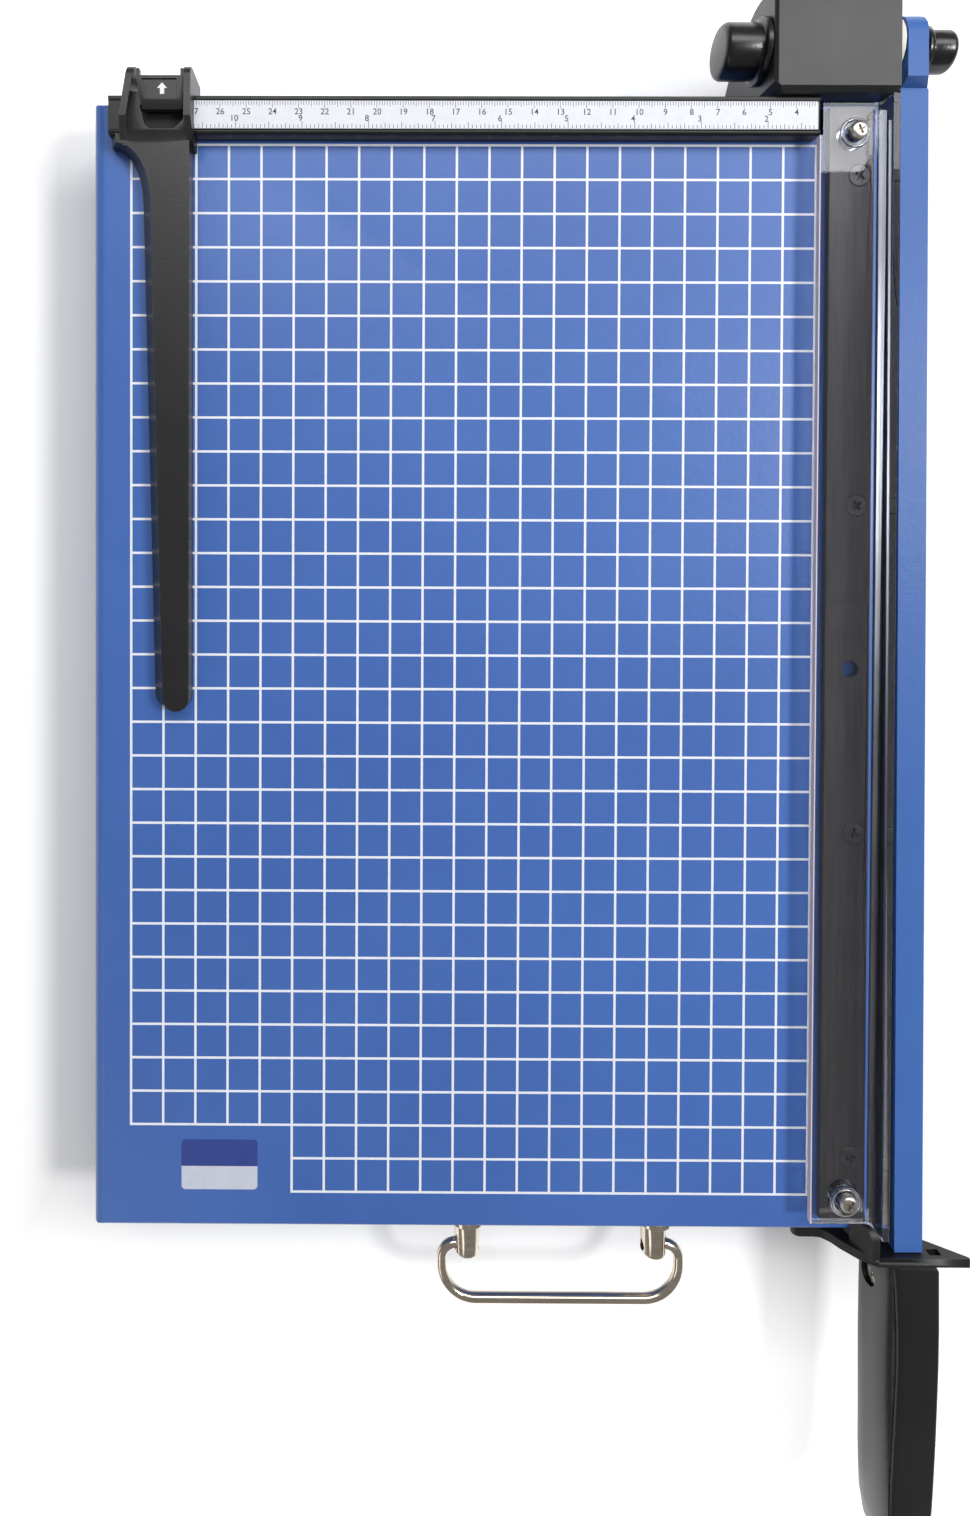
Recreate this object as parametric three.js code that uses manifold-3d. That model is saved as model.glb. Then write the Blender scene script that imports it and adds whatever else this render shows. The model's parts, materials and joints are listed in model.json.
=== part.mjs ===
// A guillotine paper trimmer: a folded sheet-steel bed with a ruler rail and a sliding side guide,
// a spring-held paper clamp under a clear guard, and a blade arm hinged at the rear right corner.
// Millimetres, +Z up. While it is drawn, x = 0 is the cut plane, y = 0 the bed's front wall and
// z = 0 the table. The finished group is moved so that its origin is the middle of its footprint.

import * as THREE from 'three';
import { mergeVertices } from 'three/addons/utils/BufferGeometryUtils.js';
import Module from 'manifold-3d';

const wasm = await Module();
wasm.setup();

// Gaps
const SEAT = 0.3; // between a piece and what it rests on or passes through
const SCREW_FIT = 0.12; // between a screw and its hole in the bed's folded walls
const OVERRUN = 2; // how far a cutting solid runs past what it cuts
const WELD = 1e-4; // vertices nearer than this are one

// Facets
const ROUND_SIDES = 20;
const SMALL_SIDES = 12;
const CORNER_STEPS = 4;
const QUARTER = 90; // degrees in a corner

// Bed
const BED_WIDTH = 311; // from the cut plane to the left wall
const BED_LENGTH = 442;
const BED_HEIGHT = 39; // table to bed surface
const SHEET = 1.6;
const WIDE_FOLD = 5; // outer radius of the left fold
const TIGHT_FOLD = 2.2; // outer radius of the other three folds
const LIP_WIDTH = 24; // sheet turned in under the walls
const FOOT_STAND = 4; // table to the lip
const FOOT_RADIUS = 9;
const FOOT_STEM_RADIUS = 2.6;
const FOOT_BARB_RADIUS = 4.2;
const FOOT_BARB_HEIGHT = 2.4;

// Ruler rail along the bed's rear edge, and the scale strip in its top
const RAIL_INSET = 8; // bed's left wall to the rail's left end
const RAIL_RIGHT = 30.6;
const RAIL_DEPTH = 14.7;
const RAIL_HEIGHT = 7;
const RAIL_GROOVE_DEPTH = 1.6;
const RAIL_GROOVE_HEIGHT = 2.6;
const RAIL_GROOVE_LOW = 1.6; // bed surface to the groove's lower edge
const RAIL_CHAMFER = 0.8;
const STRIP_WIDTH = 10.7;
const STRIP_INSET = 1.8; // rail's front edge to the strip
const STRIP_THICKNESS = 0.5;
const STRIP_END = 1; // rail's right end to the strip's
const STRIP_START = 8; // rail's left end to the strip's
const RAIL_SCREW_RADIUS = 1.7;
const RAIL_SCREW_LENGTH = 7;
const RAIL_SCREW_SHARES = [0.1, 0.5, 0.9]; // places along the rail

// Lower blade on the bed's right wall
const LOWER_BLADE_THICKNESS = 3;
const LOWER_BLADE_HEIGHT = 25;
const LOWER_BLADE_INSET = 2; // short of the bed at each end
const LOWER_BLADE_RELIEF = 0.5; // how far the face falls back below the cutting edge
const LOWER_BLADE_LAND = 8; // height of the true face under the edge
const LOWER_SCREW_DROP = 13; // bed surface to the screw line
const LOWER_SCREW_LENGTH = 11;

// Clear guard: a flange over the clamp and an upright wall beside the blade
const GUARD_LEFT = 31.5; // left of the cut plane
const GUARD_RIGHT = 6;
const GUARD_SHEET = 2.5;
const GUARD_FRONT = 9;
const GUARD_REAR = 2.8; // short of the bed's rear edge
const GUARD_TOP = 8; // bed surface to the flange's top
const GUARD_WALL_TOP = 16.5; // bed surface to the wall's top
const GUARD_BEND = 2; // radius inside the bend
const GUARD_SCREW_X = 17.4;
const GUARD_SCREW_FRONT = 18;
const GUARD_SCREW_REAR = 13.8; // ahead of the bed's rear edge
const GUARD_SCREW_RADIUS = 2;
const GUARD_SCREW_HEAD_RADIUS = 3.5;
const GUARD_SCREW_HEAD_HEIGHT = 2.6;
const GUARD_SCREW_GRIP = 4; // thread below the bed sheet
const SPACER_RADIUS = 5.1;

// Paper clamp under the guard
const CLAMP_LEFT = 25.9; // left of the cut plane
const CLAMP_RIGHT = 8.5;
const CLAMP_THICKNESS = 3;
const CLAMP_FRONT = 7.5;
const CLAMP_REAR = 3; // short of the bed's rear edge
const CLAMP_SCREW_X = 14.2;
const CLAMP_SCREW_FIRST = 32; // behind the bed's front wall
const CLAMP_SCREW_LAST = 29; // ahead of its rear wall
const CLAMP_SCREW_COUNT = 4;
const CLAMP_SCREW_RADIUS = 2.4;
const CLAMP_SCREW_HEAD_RADIUS = 4;
const CLAMP_SCREW_HEAD_HEIGHT = 2;
const CLAMP_SCREW_LENGTH = 30;
const CLAMP_NUT_RADIUS = 5;
const CLAMP_NUT_HEIGHT = 4;
const CLAMP_WINDOW_RADIUS = 3.1;
const CLAMP_WINDOW_X = 16;
const CLAMP_WINDOW_BEHIND = 1.6; // behind the bed's middle
const SPRING_RADIUS = 3.9; // to the middle of the wire
const SPRING_WIRE = 1;
const SPRING_TURNS = 5;
const SPRING_SIDES = 5;
const SPRING_STEPS_PER_TURN = 8;

// Pivot hub behind the bed
const HUB_LEFT = 50; // left of the cut plane
const HUB_RIGHT = 2.5;
const PIVOT_BEHIND = 21; // bed's rear wall to the pivot axis
const PIVOT_DROP = 1.8; // bed surface down to the pivot axis
const HUB_NOSE_RADIUS = 20; // rear round about the pivot
const HUB_RISE = 13.2; // pivot axis to the flat top
const HUB_DROP = 35.2; // pivot axis to the underside
const HUB_HEEL = 1.2; // pivot axis forward to the end of the flat underside
const HUB_CHAMFER = 4;
const HUB_EDGE = 1.2; // small break along the left face
const HUB_FRONT_EDGE = 2; // break along the top's front edge
const HUB_TAIL = 3.3; // pivot axis back to where the nose leaves the underside
const HUB_TAIL_SHARE = 0.9; // of the drop, at that place
const HUB_NOSE_START = -28; // degrees above the level, where the nose's round begins
const HUB_SCREW_RADIUS = 1.9;
const HUB_SCREW_HEAD_RADIUS = 3.6;
const HUB_SCREW_HEAD_HEIGHT = 3;
const HUB_SCREW_LENGTH = 14;
const HUB_SCREW_DROP = 14; // bed surface down to the screws
const HUB_SCREW_INSET = 12; // from each side of the hub

// Pivot bolt, washers, bush, nut and caps, all on one axis
const BOLT_RADIUS = 4;
const BOLT_HEAD_ACROSS = 13;
const BOLT_HEAD_HEIGHT = 5.3;
const BOLT_THREAD_RADIUS = 3;
const BOLT_THREAD_LENGTH = 7.5;
const NUT_ACROSS = 10;
const NUT_HEIGHT = 5;
const WASHER_RADIUS = 12.4;
const WASHER_THICKNESS = 2;
const DISC_RADIUS = 8;
const DISC_THICKNESS = 0.6;
const DISC_DISH = 0.5; // rise of the dished spring washer
const BUSH_WALL = 1.7;
const BUSH_FLANGE_RADIUS = 8;
const BUSH_FLANGE_THICKNESS = 0.7;
const LEFT_CAP_RADIUS = 10.5;
const LEFT_CAP_LENGTH = 16.5;
const LEFT_CAP_FLANGE_RADIUS = 12.5;
const LEFT_CAP_WALL = 1.7;
const RIGHT_CAP_RADIUS = 8;
const RIGHT_CAP_LENGTH = 12.6;
const RIGHT_CAP_FLANGE_RADIUS = 9.4;
const RIGHT_CAP_WALL = 1.1;
const CAP_FLANGE = 2;
const CAP_ROUND = 2;

// Blade arm
const ARM_GAP = 2.5; // cut plane to the arm's left face
const ARM_THICKNESS = 10.8;
const ARM_EYE_THICKNESS = 7.8;
const ARM_EYE_RADIUS = 8.6; // half the eye's height
const ARM_EYE_REACH = 13; // pivot axis to the eye's front and rear ends
const ARM_FRONT = 4; // ahead of the bed's front wall
const ARM_TOP_REAR = 2; // above the bed surface
const ARM_TOP_FRONT = 5.5;
const ARM_DEPTH = 24; // height of the bar
const ARM_NECK = 15.5; // pivot axis forward to the foot of the eye's shoulder
const ARM_BELLY = 34; // pivot axis forward to where the underside is straight
const ARM_NOSE = 5; // chamfer at the front under the bar
const TANG_GAP = 5.6; // cut plane to the tang's left face
const TANG_THICKNESS = 5;
const TANG_HEIGHT = 10;
const TANG_SHARE = 0.885; // of the grip's length
const TANG_DROP = 4.5; // arm's top edge to the tang's

// Upper blade
const BLADE_GAP = 0.2; // cut plane to the blade's face
const BLADE_THICKNESS = 1.9;
const BLADE_FRONT = 2; // behind the bed's front wall
const BLADE_REAR = 6; // ahead of the bed's rear wall
const BLADE_TOP_DROP = 1.5; // arm's top edge to the blade's
const BLADE_END_HEIGHT = 22;
const BLADE_BOW = 9; // how far the cutting edge bows down in the middle
const BLADE_BEVEL = 3;
const BLADE_STATIONS = 14;
const BLADE_SCREW_COUNT = 4;
const BLADE_SCREW_END_SHARE = 0.1; // of the blade's length, from each end
const BLADE_SCREW_DROP = 12; // arm's top edge to the screw line

// Countersunk screws of both blades and the handle
const SCREW_RADIUS = 1.9;
const SCREW_HEAD_RADIUS = 3.4;
const SCREW_HEAD_HEIGHT = 1.7;
const SCREW_SINK = 0.2; // head below the face

// Hand guard at the front of the arm
const SHIELD_THICKNESS = 3.4;
const SHIELD_LEFT = 31; // left of the cut plane
const SHIELD_RIGHT = 30.2;
const SHIELD_TOP = 8.1; // above the bed surface
const SHIELD_BOTTOM = 25; // below the bed surface
const FINGER_TOP = 6.3; // below the bed surface
const FINGER_HEIGHT = 5;
const SHIELD_STEP_LEFT = 23;
const SHIELD_STEP_RIGHT = 5;
// Each pair: share of the step's run, then of its rise
const SHIELD_STEP_SHARES = [
  [0, 0],
  [0.14, 0.03],
  [0.29, 0.18],
  [0.42, 0.41],
  [0.67, 0.74],
  [0.84, 0.9],
  [1, 1],
];
const SHIELD_BODY_RIGHT = 17;
const SHIELD_BODY_LEFT = 8;
const WING_ROOT = 1.2; // below the bed surface
const WING_THICKNESS = 0.9; // at the tip
const SLOT_LEFT = 15.6;
const SLOT_WIDTH = 4.6;
const SLOT_TOP = 6.4; // above the bed surface
const SLOT_HEIGHT = 3;
const GUSSET_LEFT = 12.4; // left of the cut plane, at its foot
const GUSSET_TOP_LEFT = 7.5;
const GUSSET_RIGHT = 4.5;
const GUSSET_REACH = 11.1;
const GUSSET_LOW = 7; // below the bed surface, at the plate
const GUSSET_CLEAR = 0.8; // above the bed surface, over the bed
const GUSSET_ROUND = 5;

// Handle grip: two halves on the tang
const GRIP_LEFT = 1.8; // left of the cut plane
const GRIP_WIDTH = 19.8;
const GRIP_LOW = 12.5; // below the bed surface
const GRIP_LENGTH = 122;
const GRIP_CORNER = 2.6;
const GRIP_CORNER_GROWTH = 4; // how much rounder it is at the end
const GRIP_END_CORNER_SHARE = 0.95;
const GRIP_LEFT_SHARE = 0.45; // of the narrowing, on the left side
// Each row: share along the grip, then shares of its width and height, and of its drop to the end
const GRIP_STATION_SHARES = [
  [0, 0.95, 0.95, 0],
  [0.012, 1, 1, 0],
  [0.12, 1, 1, 0],
  [0.4, 0.97, 0.93, 0],
  [0.55, 0.9, 0.88, 0.03],
  [0.7, 0.8, 0.83, 0.1],
  [0.86, 0.72, 0.83, 0.4],
  [0.95, 0.64, 0.77, 0.72],
  [0.985, 0.5, 0.62, 0.92],
  [1, 0.32, 0.42, 1],
];
const GRIP_DROP = 7;
const HANDLE_SCREW_SHARES = [0.106, 0.82]; // places along the grip
const HANDLE_SCREW_DROP = 12.7; // grip's top to the screw line
const HANDLE_SCREW_LENGTH = 13;
const HANDLE_SINK = 1.2; // depth of the pocket round each screw head
const HANDLE_POCKET_RADIUS = 4;

// Side guide on the rail
const GUIDE_INSET = 39.5; // bed's left wall to the guide's working edge, as photographed
const GUIDE_WIDTH = 28.1;
const GUIDE_TIP = 206; // bed's front wall to the tip
const GUIDE_TIP_WIDTH = 10;
const GUIDE_ROOT_WIDTH = 14.8;
const GUIDE_FLANK = 4; // how much wider the lever is at the bed than on top
const GUIDE_FLANK_SHARE = 0.75; // of the height, where the flank ends
const GUIDE_FLARE_SHARE = 0.7; // of the flank, at the lever's left end
const GUIDE_HEIGHT = 8.5;
const GUIDE_ROOT = 3.8; // rail's front face forward to the start of the curve
const GUIDE_CURVE = 22; // how long the curve is
const CHEEK_THICKNESS = 2.6;
const CHEEK_TOP = 14.5; // above the bed surface
const CHEEK_FRONT = 5; // ahead of the rail
const CHEEK_REAR = 8.7; // behind the rail
const CHEEK_OVERHANG = 1.6; // right cheek past the working edge
const CHEEK_INSET = 1.3; // guide's left end to the left cheek's front end
const CHEEK_SPLAY = 4.7; // how far the left cheek leans in from front to rear
const CHEEK_LOW = 6; // below the bed surface, behind the rail
const CHEEK_ROUND = 4;
const BRIDGE_THICKNESS = 2.7;
const BRIDGE_SLOPE = 3; // how far ahead of the rail the deck starts to rise
const WELL_RIGHT = 2; // working edge to the dark well under the button
const WELL_WIDTH = 16.5;
const WELL_FRONT = 0.8; // behind the rail's front face
const WELL_DEPTH = 2;
const WELL_REACH = 9.7; // rail's front face to the well's rear end
const WELL_CORNER = 3.5;
const BACK_THICKNESS = 1.5;
const BACK_TOP = 1; // above the bed surface

// Release button in the guide
const BUTTON_THICKNESS = 3.6;
const BUTTON_TOP = 14; // above the bed surface
const BUTTON_WIDTH = 17.8;
const BUTTON_SLANT = 2.3; // how much narrower its left side is in front
const BUTTON_DEPTH = 12.2;
const BUTTON_REAR = 4.4; // behind the rail
const BUTTON_LIP = 1.2;
const BUTTON_SLOPE = 3; // length of the sloping front
const BUTTON_RECESS = 0.6;
const BUTTON_RIM = 2.4;
const BUTTON_TRAVEL = 2.5;
const BUTTON_PRONG = 3.2;
const BUTTON_PRONG_WIDTH = 1.2;
const HOOK_THICKNESS = 2;
const HOOK_TOOTH = 1.4;
const RELEASE_SPRING_RADIUS = 1.8;
const RELEASE_SPRING_WIRE = 0.6;
const RELEASE_SPRING_TURNS = 3;
const RELEASE_SPRING_DROP = 2; // bed surface down to its axis

// Carry bail on the front wall
const BAIL_MIDDLE = 124.2; // left of the cut plane
const BAIL_WIDTH = 95.8; // between the rod's centres
const BAIL_ROD = 4;
const BAIL_DROP = 9; // bed surface down to the posts' axis
const BAIL_REACH = 35.5; // front wall to the bar
const BAIL_PIVOT = 12.9; // front wall to the hinge axis
const BAIL_ROOT_BEND = 6;
const BAIL_BEND = 14;
const BAIL_STEPS = 60;
const BAIL_SIDES = 8;
const POST_SPACING = 75.4;
const POST_RADIUS = 5;
const POST_LENGTH = 16.5;
const POST_COLLAR_RADIUS = 7.3;
const POST_COLLAR = 2.5;
const POST_ROUND = 1.5;
const RIVET_RADIUS = 2.5;
const RIVET_HEAD_RADIUS = 4;
const RIVET_HEAD_HEIGHT = 1.8;

// Worked out from the sizes above
const bedLeft = -BED_WIDTH;
const bedRight = -(LOWER_BLADE_THICKNESS + SEAT);
const underBed = BED_HEIGHT - SHEET;
const railLeft = -BED_WIDTH + RAIL_INSET;
const railFront = BED_LENGTH - RAIL_DEPTH;
const railTop = BED_HEIGHT + RAIL_HEIGHT;
const guardUnder = BED_HEIGHT + GUARD_TOP - GUARD_SHEET;
const clampLow = BED_HEIGHT + SEAT;
const clampTop = clampLow + CLAMP_THICKNESS;
const clampPitch = (BED_LENGTH - CLAMP_SCREW_FIRST - CLAMP_SCREW_LAST) / (CLAMP_SCREW_COUNT - 1);
const clampScrews = Array.from(
  { length: CLAMP_SCREW_COUNT },
  (_, i) => CLAMP_SCREW_FIRST + i * clampPitch,
);
const guardScrews = [GUARD_SCREW_FRONT, BED_LENGTH - GUARD_SCREW_REAR];
const lowerScrews = clampScrews.slice(1).map((y) => y - clampPitch / 2);
const railScrews = RAIL_SCREW_SHARES.map((share) => railLeft - share * (railLeft + RAIL_RIGHT));
const footPlaces = {
  front_left: [bedLeft + LIP_WIDTH / 2, LIP_WIDTH / 2],
  front_right: [bedRight - LIP_WIDTH / 2, LIP_WIDTH / 2],
  rear_left: [bedLeft + LIP_WIDTH / 2, BED_LENGTH - LIP_WIDTH / 2],
  rear_right: [bedRight - LIP_WIDTH / 2, BED_LENGTH - LIP_WIDTH / 2],
};
const pivotY = BED_LENGTH + PIVOT_BEHIND;
const pivotZ = BED_HEIGHT - PIVOT_DROP;
const hubScrews = [-HUB_LEFT + HUB_SCREW_INSET, -HUB_RIGHT - HUB_SCREW_INSET];
const armRight = ARM_GAP + ARM_THICKNESS;
const eyeRight = ARM_GAP + ARM_EYE_THICKNESS;
const armTopRear = BED_HEIGHT + ARM_TOP_REAR;
const armTopFront = BED_HEIGHT + ARM_TOP_FRONT;
const tangTop = armTopFront - TANG_DROP;
const bladeFront = BLADE_FRONT;
const bladeRear = BED_LENGTH - BLADE_REAR;
const bladeRight = BLADE_GAP + BLADE_THICKNESS;
const bladeScrewZ = armTopRear - BLADE_SCREW_DROP;
const shieldRear = -ARM_FRONT - SEAT;
const shieldFront = shieldRear - SHIELD_THICKNESS;
const gripRear = shieldFront - SEAT;
const gripTop = BED_HEIGHT + SHIELD_TOP;
const gripHeight = SHIELD_TOP + GRIP_LOW;
const tangLength = TANG_SHARE * GRIP_LENGTH;
const handleScrews = HANDLE_SCREW_SHARES.map((share) => gripRear - share * GRIP_LENGTH);
const handleScrewZ = gripTop - HANDLE_SCREW_DROP;
const seamX = -GRIP_LEFT + GRIP_WIDTH / 2;
const guideEdge = -BED_WIDTH + GUIDE_INSET;
const guideLeft = guideEdge - GUIDE_WIDTH;
const cheekLeft = guideEdge + CHEEK_OVERHANG - CHEEK_THICKNESS;
const deckTop = railTop + SEAT + BRIDGE_THICKNESS;
const bailZ = BED_HEIGHT - BAIL_DROP;
const bailPosts = [-BAIL_MIDDLE - POST_SPACING / 2, -BAIL_MIDDLE + POST_SPACING / 2];
const screwHoleRadius = SCREW_RADIUS + SEAT;
const shaftHoleRadius = BOLT_RADIUS + SEAT;

// Finishes
function finish(color, roughness, metalness) {
  return new THREE.MeshStandardMaterial({ color, roughness, metalness });
}

const bluePaint = finish(0x4168b4, 0.42, 0.1);
const blackPlastic = finish(0x2c2c2e, 0.5, 0);
const blackMetal = finish(0x232325, 0.4, 0.4);
const greyClamp = finish(0x575452, 0.45, 0.6);
const bladeSteel = finish(0x6d6f73, 0.3, 0.95);
const zincSteel = finish(0xc9c6bd, 0.28, 0.95);
const nickel = finish(0xd8cfc4, 0.14, 1);
const bronze = finish(0xa9824a, 0.35, 0.9);
const blackRubber = finish(0x1d1d1f, 0.85, 0);
const whiteNylon = finish(0xe8e6df, 0.5, 0);
const whiteStrip = finish(0xf1f2f6, 0.45, 0);
const clearPlastic = finish(0xe9eef4, 0.08, 0);
clearPlastic.transparent = true;
clearPlastic.opacity = 0.35;

// Solids from three.js geometry, and back
function solidOf(geometry) {
  const bare = geometry.index ? geometry.toNonIndexed() : geometry.clone();
  bare.deleteAttribute('normal');
  bare.deleteAttribute('uv');
  const merged = mergeVertices(bare, WELD);
  return new wasm.Manifold(
    new wasm.Mesh({
      numProp: 3,
      vertProperties: merged.attributes.position.array,
      triVerts: new Uint32Array(merged.index.array),
    }),
  );
}

function geometryOf(solid) {
  const { vertProperties, triVerts } = solid.getMesh();
  const shared = new THREE.BufferGeometry();
  shared.setAttribute('position', new THREE.BufferAttribute(vertProperties, 3));
  shared.setIndex(new THREE.BufferAttribute(triVerts, 1));
  const flat = shared.toNonIndexed();
  flat.computeVertexNormals();
  return flat;
}

const cut = (solid, ...tools) => tools.reduce((left, tool) => left.subtract(tool), solid);
const join = (solid, ...others) => others.reduce((sum, other) => sum.add(other), solid);

const trimmer = new THREE.Group();

function place(name, solid, material) {
  const mesh = new THREE.Mesh(geometryOf(solid), material);
  mesh.name = name;
  trimmer.add(mesh);
}

// Outlines, as lists of points
const point = (a, b) => new THREE.Vector2(a, b);

function arc(a, b, radius, fromDegrees, toDegrees, steps = CORNER_STEPS, secondRadius = radius) {
  return Array.from({ length: steps + 1 }, (_, i) => {
    const turn = THREE.MathUtils.degToRad(fromDegrees + ((toDegrees - fromDegrees) * i) / steps);
    return point(a + radius * Math.cos(turn), b + secondRadius * Math.sin(turn));
  });
}

const rectangle = (a0, a1, b0, b1) => [point(a0, b0), point(a1, b0), point(a1, b1), point(a0, b1)];

// Profiles pulled along an axis: drawn in y and z along x, in x and z along y, in x and y along z
const yzToX = new THREE.Matrix4().makeBasis(
  new THREE.Vector3(0, 1, 0),
  new THREE.Vector3(0, 0, 1),
  new THREE.Vector3(1, 0, 0),
);
const xzToY = new THREE.Matrix4().makeBasis(
  new THREE.Vector3(1, 0, 0),
  new THREE.Vector3(0, 0, 1),
  new THREE.Vector3(0, -1, 0),
);

function pulled(outline, length) {
  return new THREE.ExtrudeGeometry(new THREE.Shape(outline), { depth: length, bevelEnabled: false });
}

function alongX(outline, from, to) {
  return solidOf(pulled(outline, to - from).applyMatrix4(yzToX).translate(from, 0, 0));
}

function alongY(outline, from, to) {
  return solidOf(pulled(outline, to - from).applyMatrix4(xzToY).translate(0, to, 0));
}

function alongZ(outline, from, to) {
  return solidOf(pulled(outline, to - from).translate(0, 0, from));
}

const block = (x0, x1, y0, y1, z0, z1) => alongZ(rectangle(x0, x1, y0, y1), z0, z1);

// Round bars along each axis
function bar(radius, length, sides) {
  return new THREE.CylinderGeometry(radius, radius, length, sides);
}

function barX(from, to, y, z, radius, sides = SMALL_SIDES) {
  const middle = (from + to) / 2;
  return solidOf(bar(radius, to - from, sides).rotateZ(Math.PI / 2).translate(middle, y, z));
}

function barY(x, from, to, z, radius, sides = SMALL_SIDES) {
  return solidOf(bar(radius, to - from, sides).translate(x, (from + to) / 2, z));
}

function barZ(x, y, from, to, radius, sides = SMALL_SIDES) {
  return solidOf(bar(radius, to - from, sides).rotateX(Math.PI / 2).translate(x, y, (from + to) / 2));
}

// Revolved pieces. A profile lists radius and height, and the height then points along an axis.
function revolved(profile, sides) {
  const ordered = THREE.ShapeUtils.isClockWise(profile) ? [...profile].reverse() : profile;
  const closed = ordered[0].x > 0 ? [...ordered, ordered[0]] : ordered;
  return new THREE.LatheGeometry(closed, sides);
}

const turnedUp = (profile, x, y, z, sides = ROUND_SIDES) =>
  solidOf(revolved(profile, sides).rotateX(Math.PI / 2).translate(x, y, z));
const turnedRight = (profile, x, y, z, sides = ROUND_SIDES) =>
  solidOf(revolved(profile, sides).rotateZ(-Math.PI / 2).translate(x, y, z));
const turnedLeft = (profile, x, y, z, sides = ROUND_SIDES) =>
  solidOf(revolved(profile, sides).rotateZ(Math.PI / 2).translate(x, y, z));
const turnedForward = (profile, x, y, z, sides = ROUND_SIDES) =>
  solidOf(revolved(profile, sides).rotateX(Math.PI).translate(x, y, z));

const ring = (inner, outer, low, high) => rectangle(inner, outer, low, high);

// A skin through rings of equal count, closed by flat ends. The rings run anticlockwise seen against
// the way they are stacked, and the two axis names give the ends' plane in the same sense.
function lofted(rings, across, up) {
  const count = rings[0].length;
  const positions = rings.flat().flatMap((p) => [p.x, p.y, p.z]);
  const faces = [];
  for (let r = 0; r + 1 < rings.length; r++) {
    for (let i = 0; i < count; i++) {
      const a = r * count + i;
      const b = r * count + ((i + 1) % count);
      faces.push(a, b, b + count, a, b + count, a + count);
    }
  }
  const last = (rings.length - 1) * count;
  for (const [a, b, c] of endFaces(rings[0], across, up)) {
    faces.push(c, b, a);
  }
  for (const [a, b, c] of endFaces(rings.at(-1), across, up)) {
    faces.push(last + a, last + b, last + c);
  }
  const skin = new THREE.BufferGeometry();
  skin.setAttribute('position', new THREE.Float32BufferAttribute(positions, 3));
  skin.setIndex(faces);
  return solidOf(skin);
}

function endFaces(ring, across, up) {
  return THREE.ShapeUtils.triangulateShape(ring.map((p) => point(p[across], p[up])), []);
}

// A tube along a curve
function tube(curve, radius, sides, steps) {
  const section = new THREE.Shape(arc(0, 0, radius, 0, 360, sides).slice(0, sides));
  return solidOf(new THREE.ExtrudeGeometry(section, { steps, extrudePath: curve, bevelEnabled: false }));
}

class Coil extends THREE.Curve {
  constructor(radius, height, turns) {
    super();
    this.radius = radius;
    this.height = height;
    this.turns = turns;
  }

  getPoint(t, target = new THREE.Vector3()) {
    const turn = 2 * Math.PI * this.turns * t;
    return target.set(this.radius * Math.cos(turn), this.radius * Math.sin(turn), this.height * t);
  }
}

// The clear room between neighbouring turns of a coil, measured on its points
function coilGap(coil, wire) {
  const perTurn = SPRING_STEPS_PER_TURN;
  const points = coil.getPoints(Math.round(coil.turns * perTurn));
  let least = Infinity;
  for (let i = 0; i + perTurn < points.length; i++) {
    least = Math.min(least, points[i].distanceTo(points[i + perTurn]));
  }
  return least - wire;
}

function coilSpring(name, radius, wire, turns, length, orient) {
  const coil = new Coil(radius, length - wire, turns);
  console.log(`${name}: least gap between turns ${coilGap(coil, wire).toFixed(2)} mm`);
  const geometry = new THREE.ExtrudeGeometry(
    new THREE.Shape(arc(0, 0, wire / 2, 0, 360, SPRING_SIDES).slice(0, SPRING_SIDES)),
    { steps: turns * SPRING_STEPS_PER_TURN, extrudePath: coil, bevelEnabled: false },
  );
  geometry.translate(0, 0, wire / 2);
  orient(geometry);
  return solidOf(geometry);
}

// A countersunk screw: its head's face at height zero, its shank below
function countersunkProfile(radius, headRadius, headHeight, length) {
  const tip = radius / 2;
  return [
    point(0, -length),
    point(radius - tip, -length),
    point(radius, -length + tip),
    point(radius, -headHeight),
    point(headRadius, -tip / 2),
    point(headRadius, 0),
    point(0, 0),
  ];
}

// A pan-head screw: the underside of its head at height zero
function panProfile(radius, headRadius, headHeight, length) {
  const shoulder = headHeight / 2;
  return [
    point(0, -length),
    point(radius, -length),
    point(radius, 0),
    point(headRadius, 0),
    point(headRadius, shoulder),
    ...arc(headRadius - shoulder, shoulder, shoulder, QUARTER / 3, QUARTER, CORNER_STEPS / 2),
    point(0, headHeight),
  ];
}

function hexagon(acrossFlats, height, sides = 6) {
  return new THREE.CylinderGeometry(acrossFlats / Math.sqrt(3), acrossFlats / Math.sqrt(3), height, sides);
}

// The bed: a tray folded from one sheet, with a lip all round underneath
function trayOutline(from, to, low, high, firstFold, secondFold) {
  return [
    point(from, low),
    point(to, low),
    ...arc(to - secondFold, high - secondFold, secondFold, 0, QUARTER),
    ...arc(from + firstFold, high - firstFold, firstFold, QUARTER, 2 * QUARTER),
  ];
}

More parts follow.
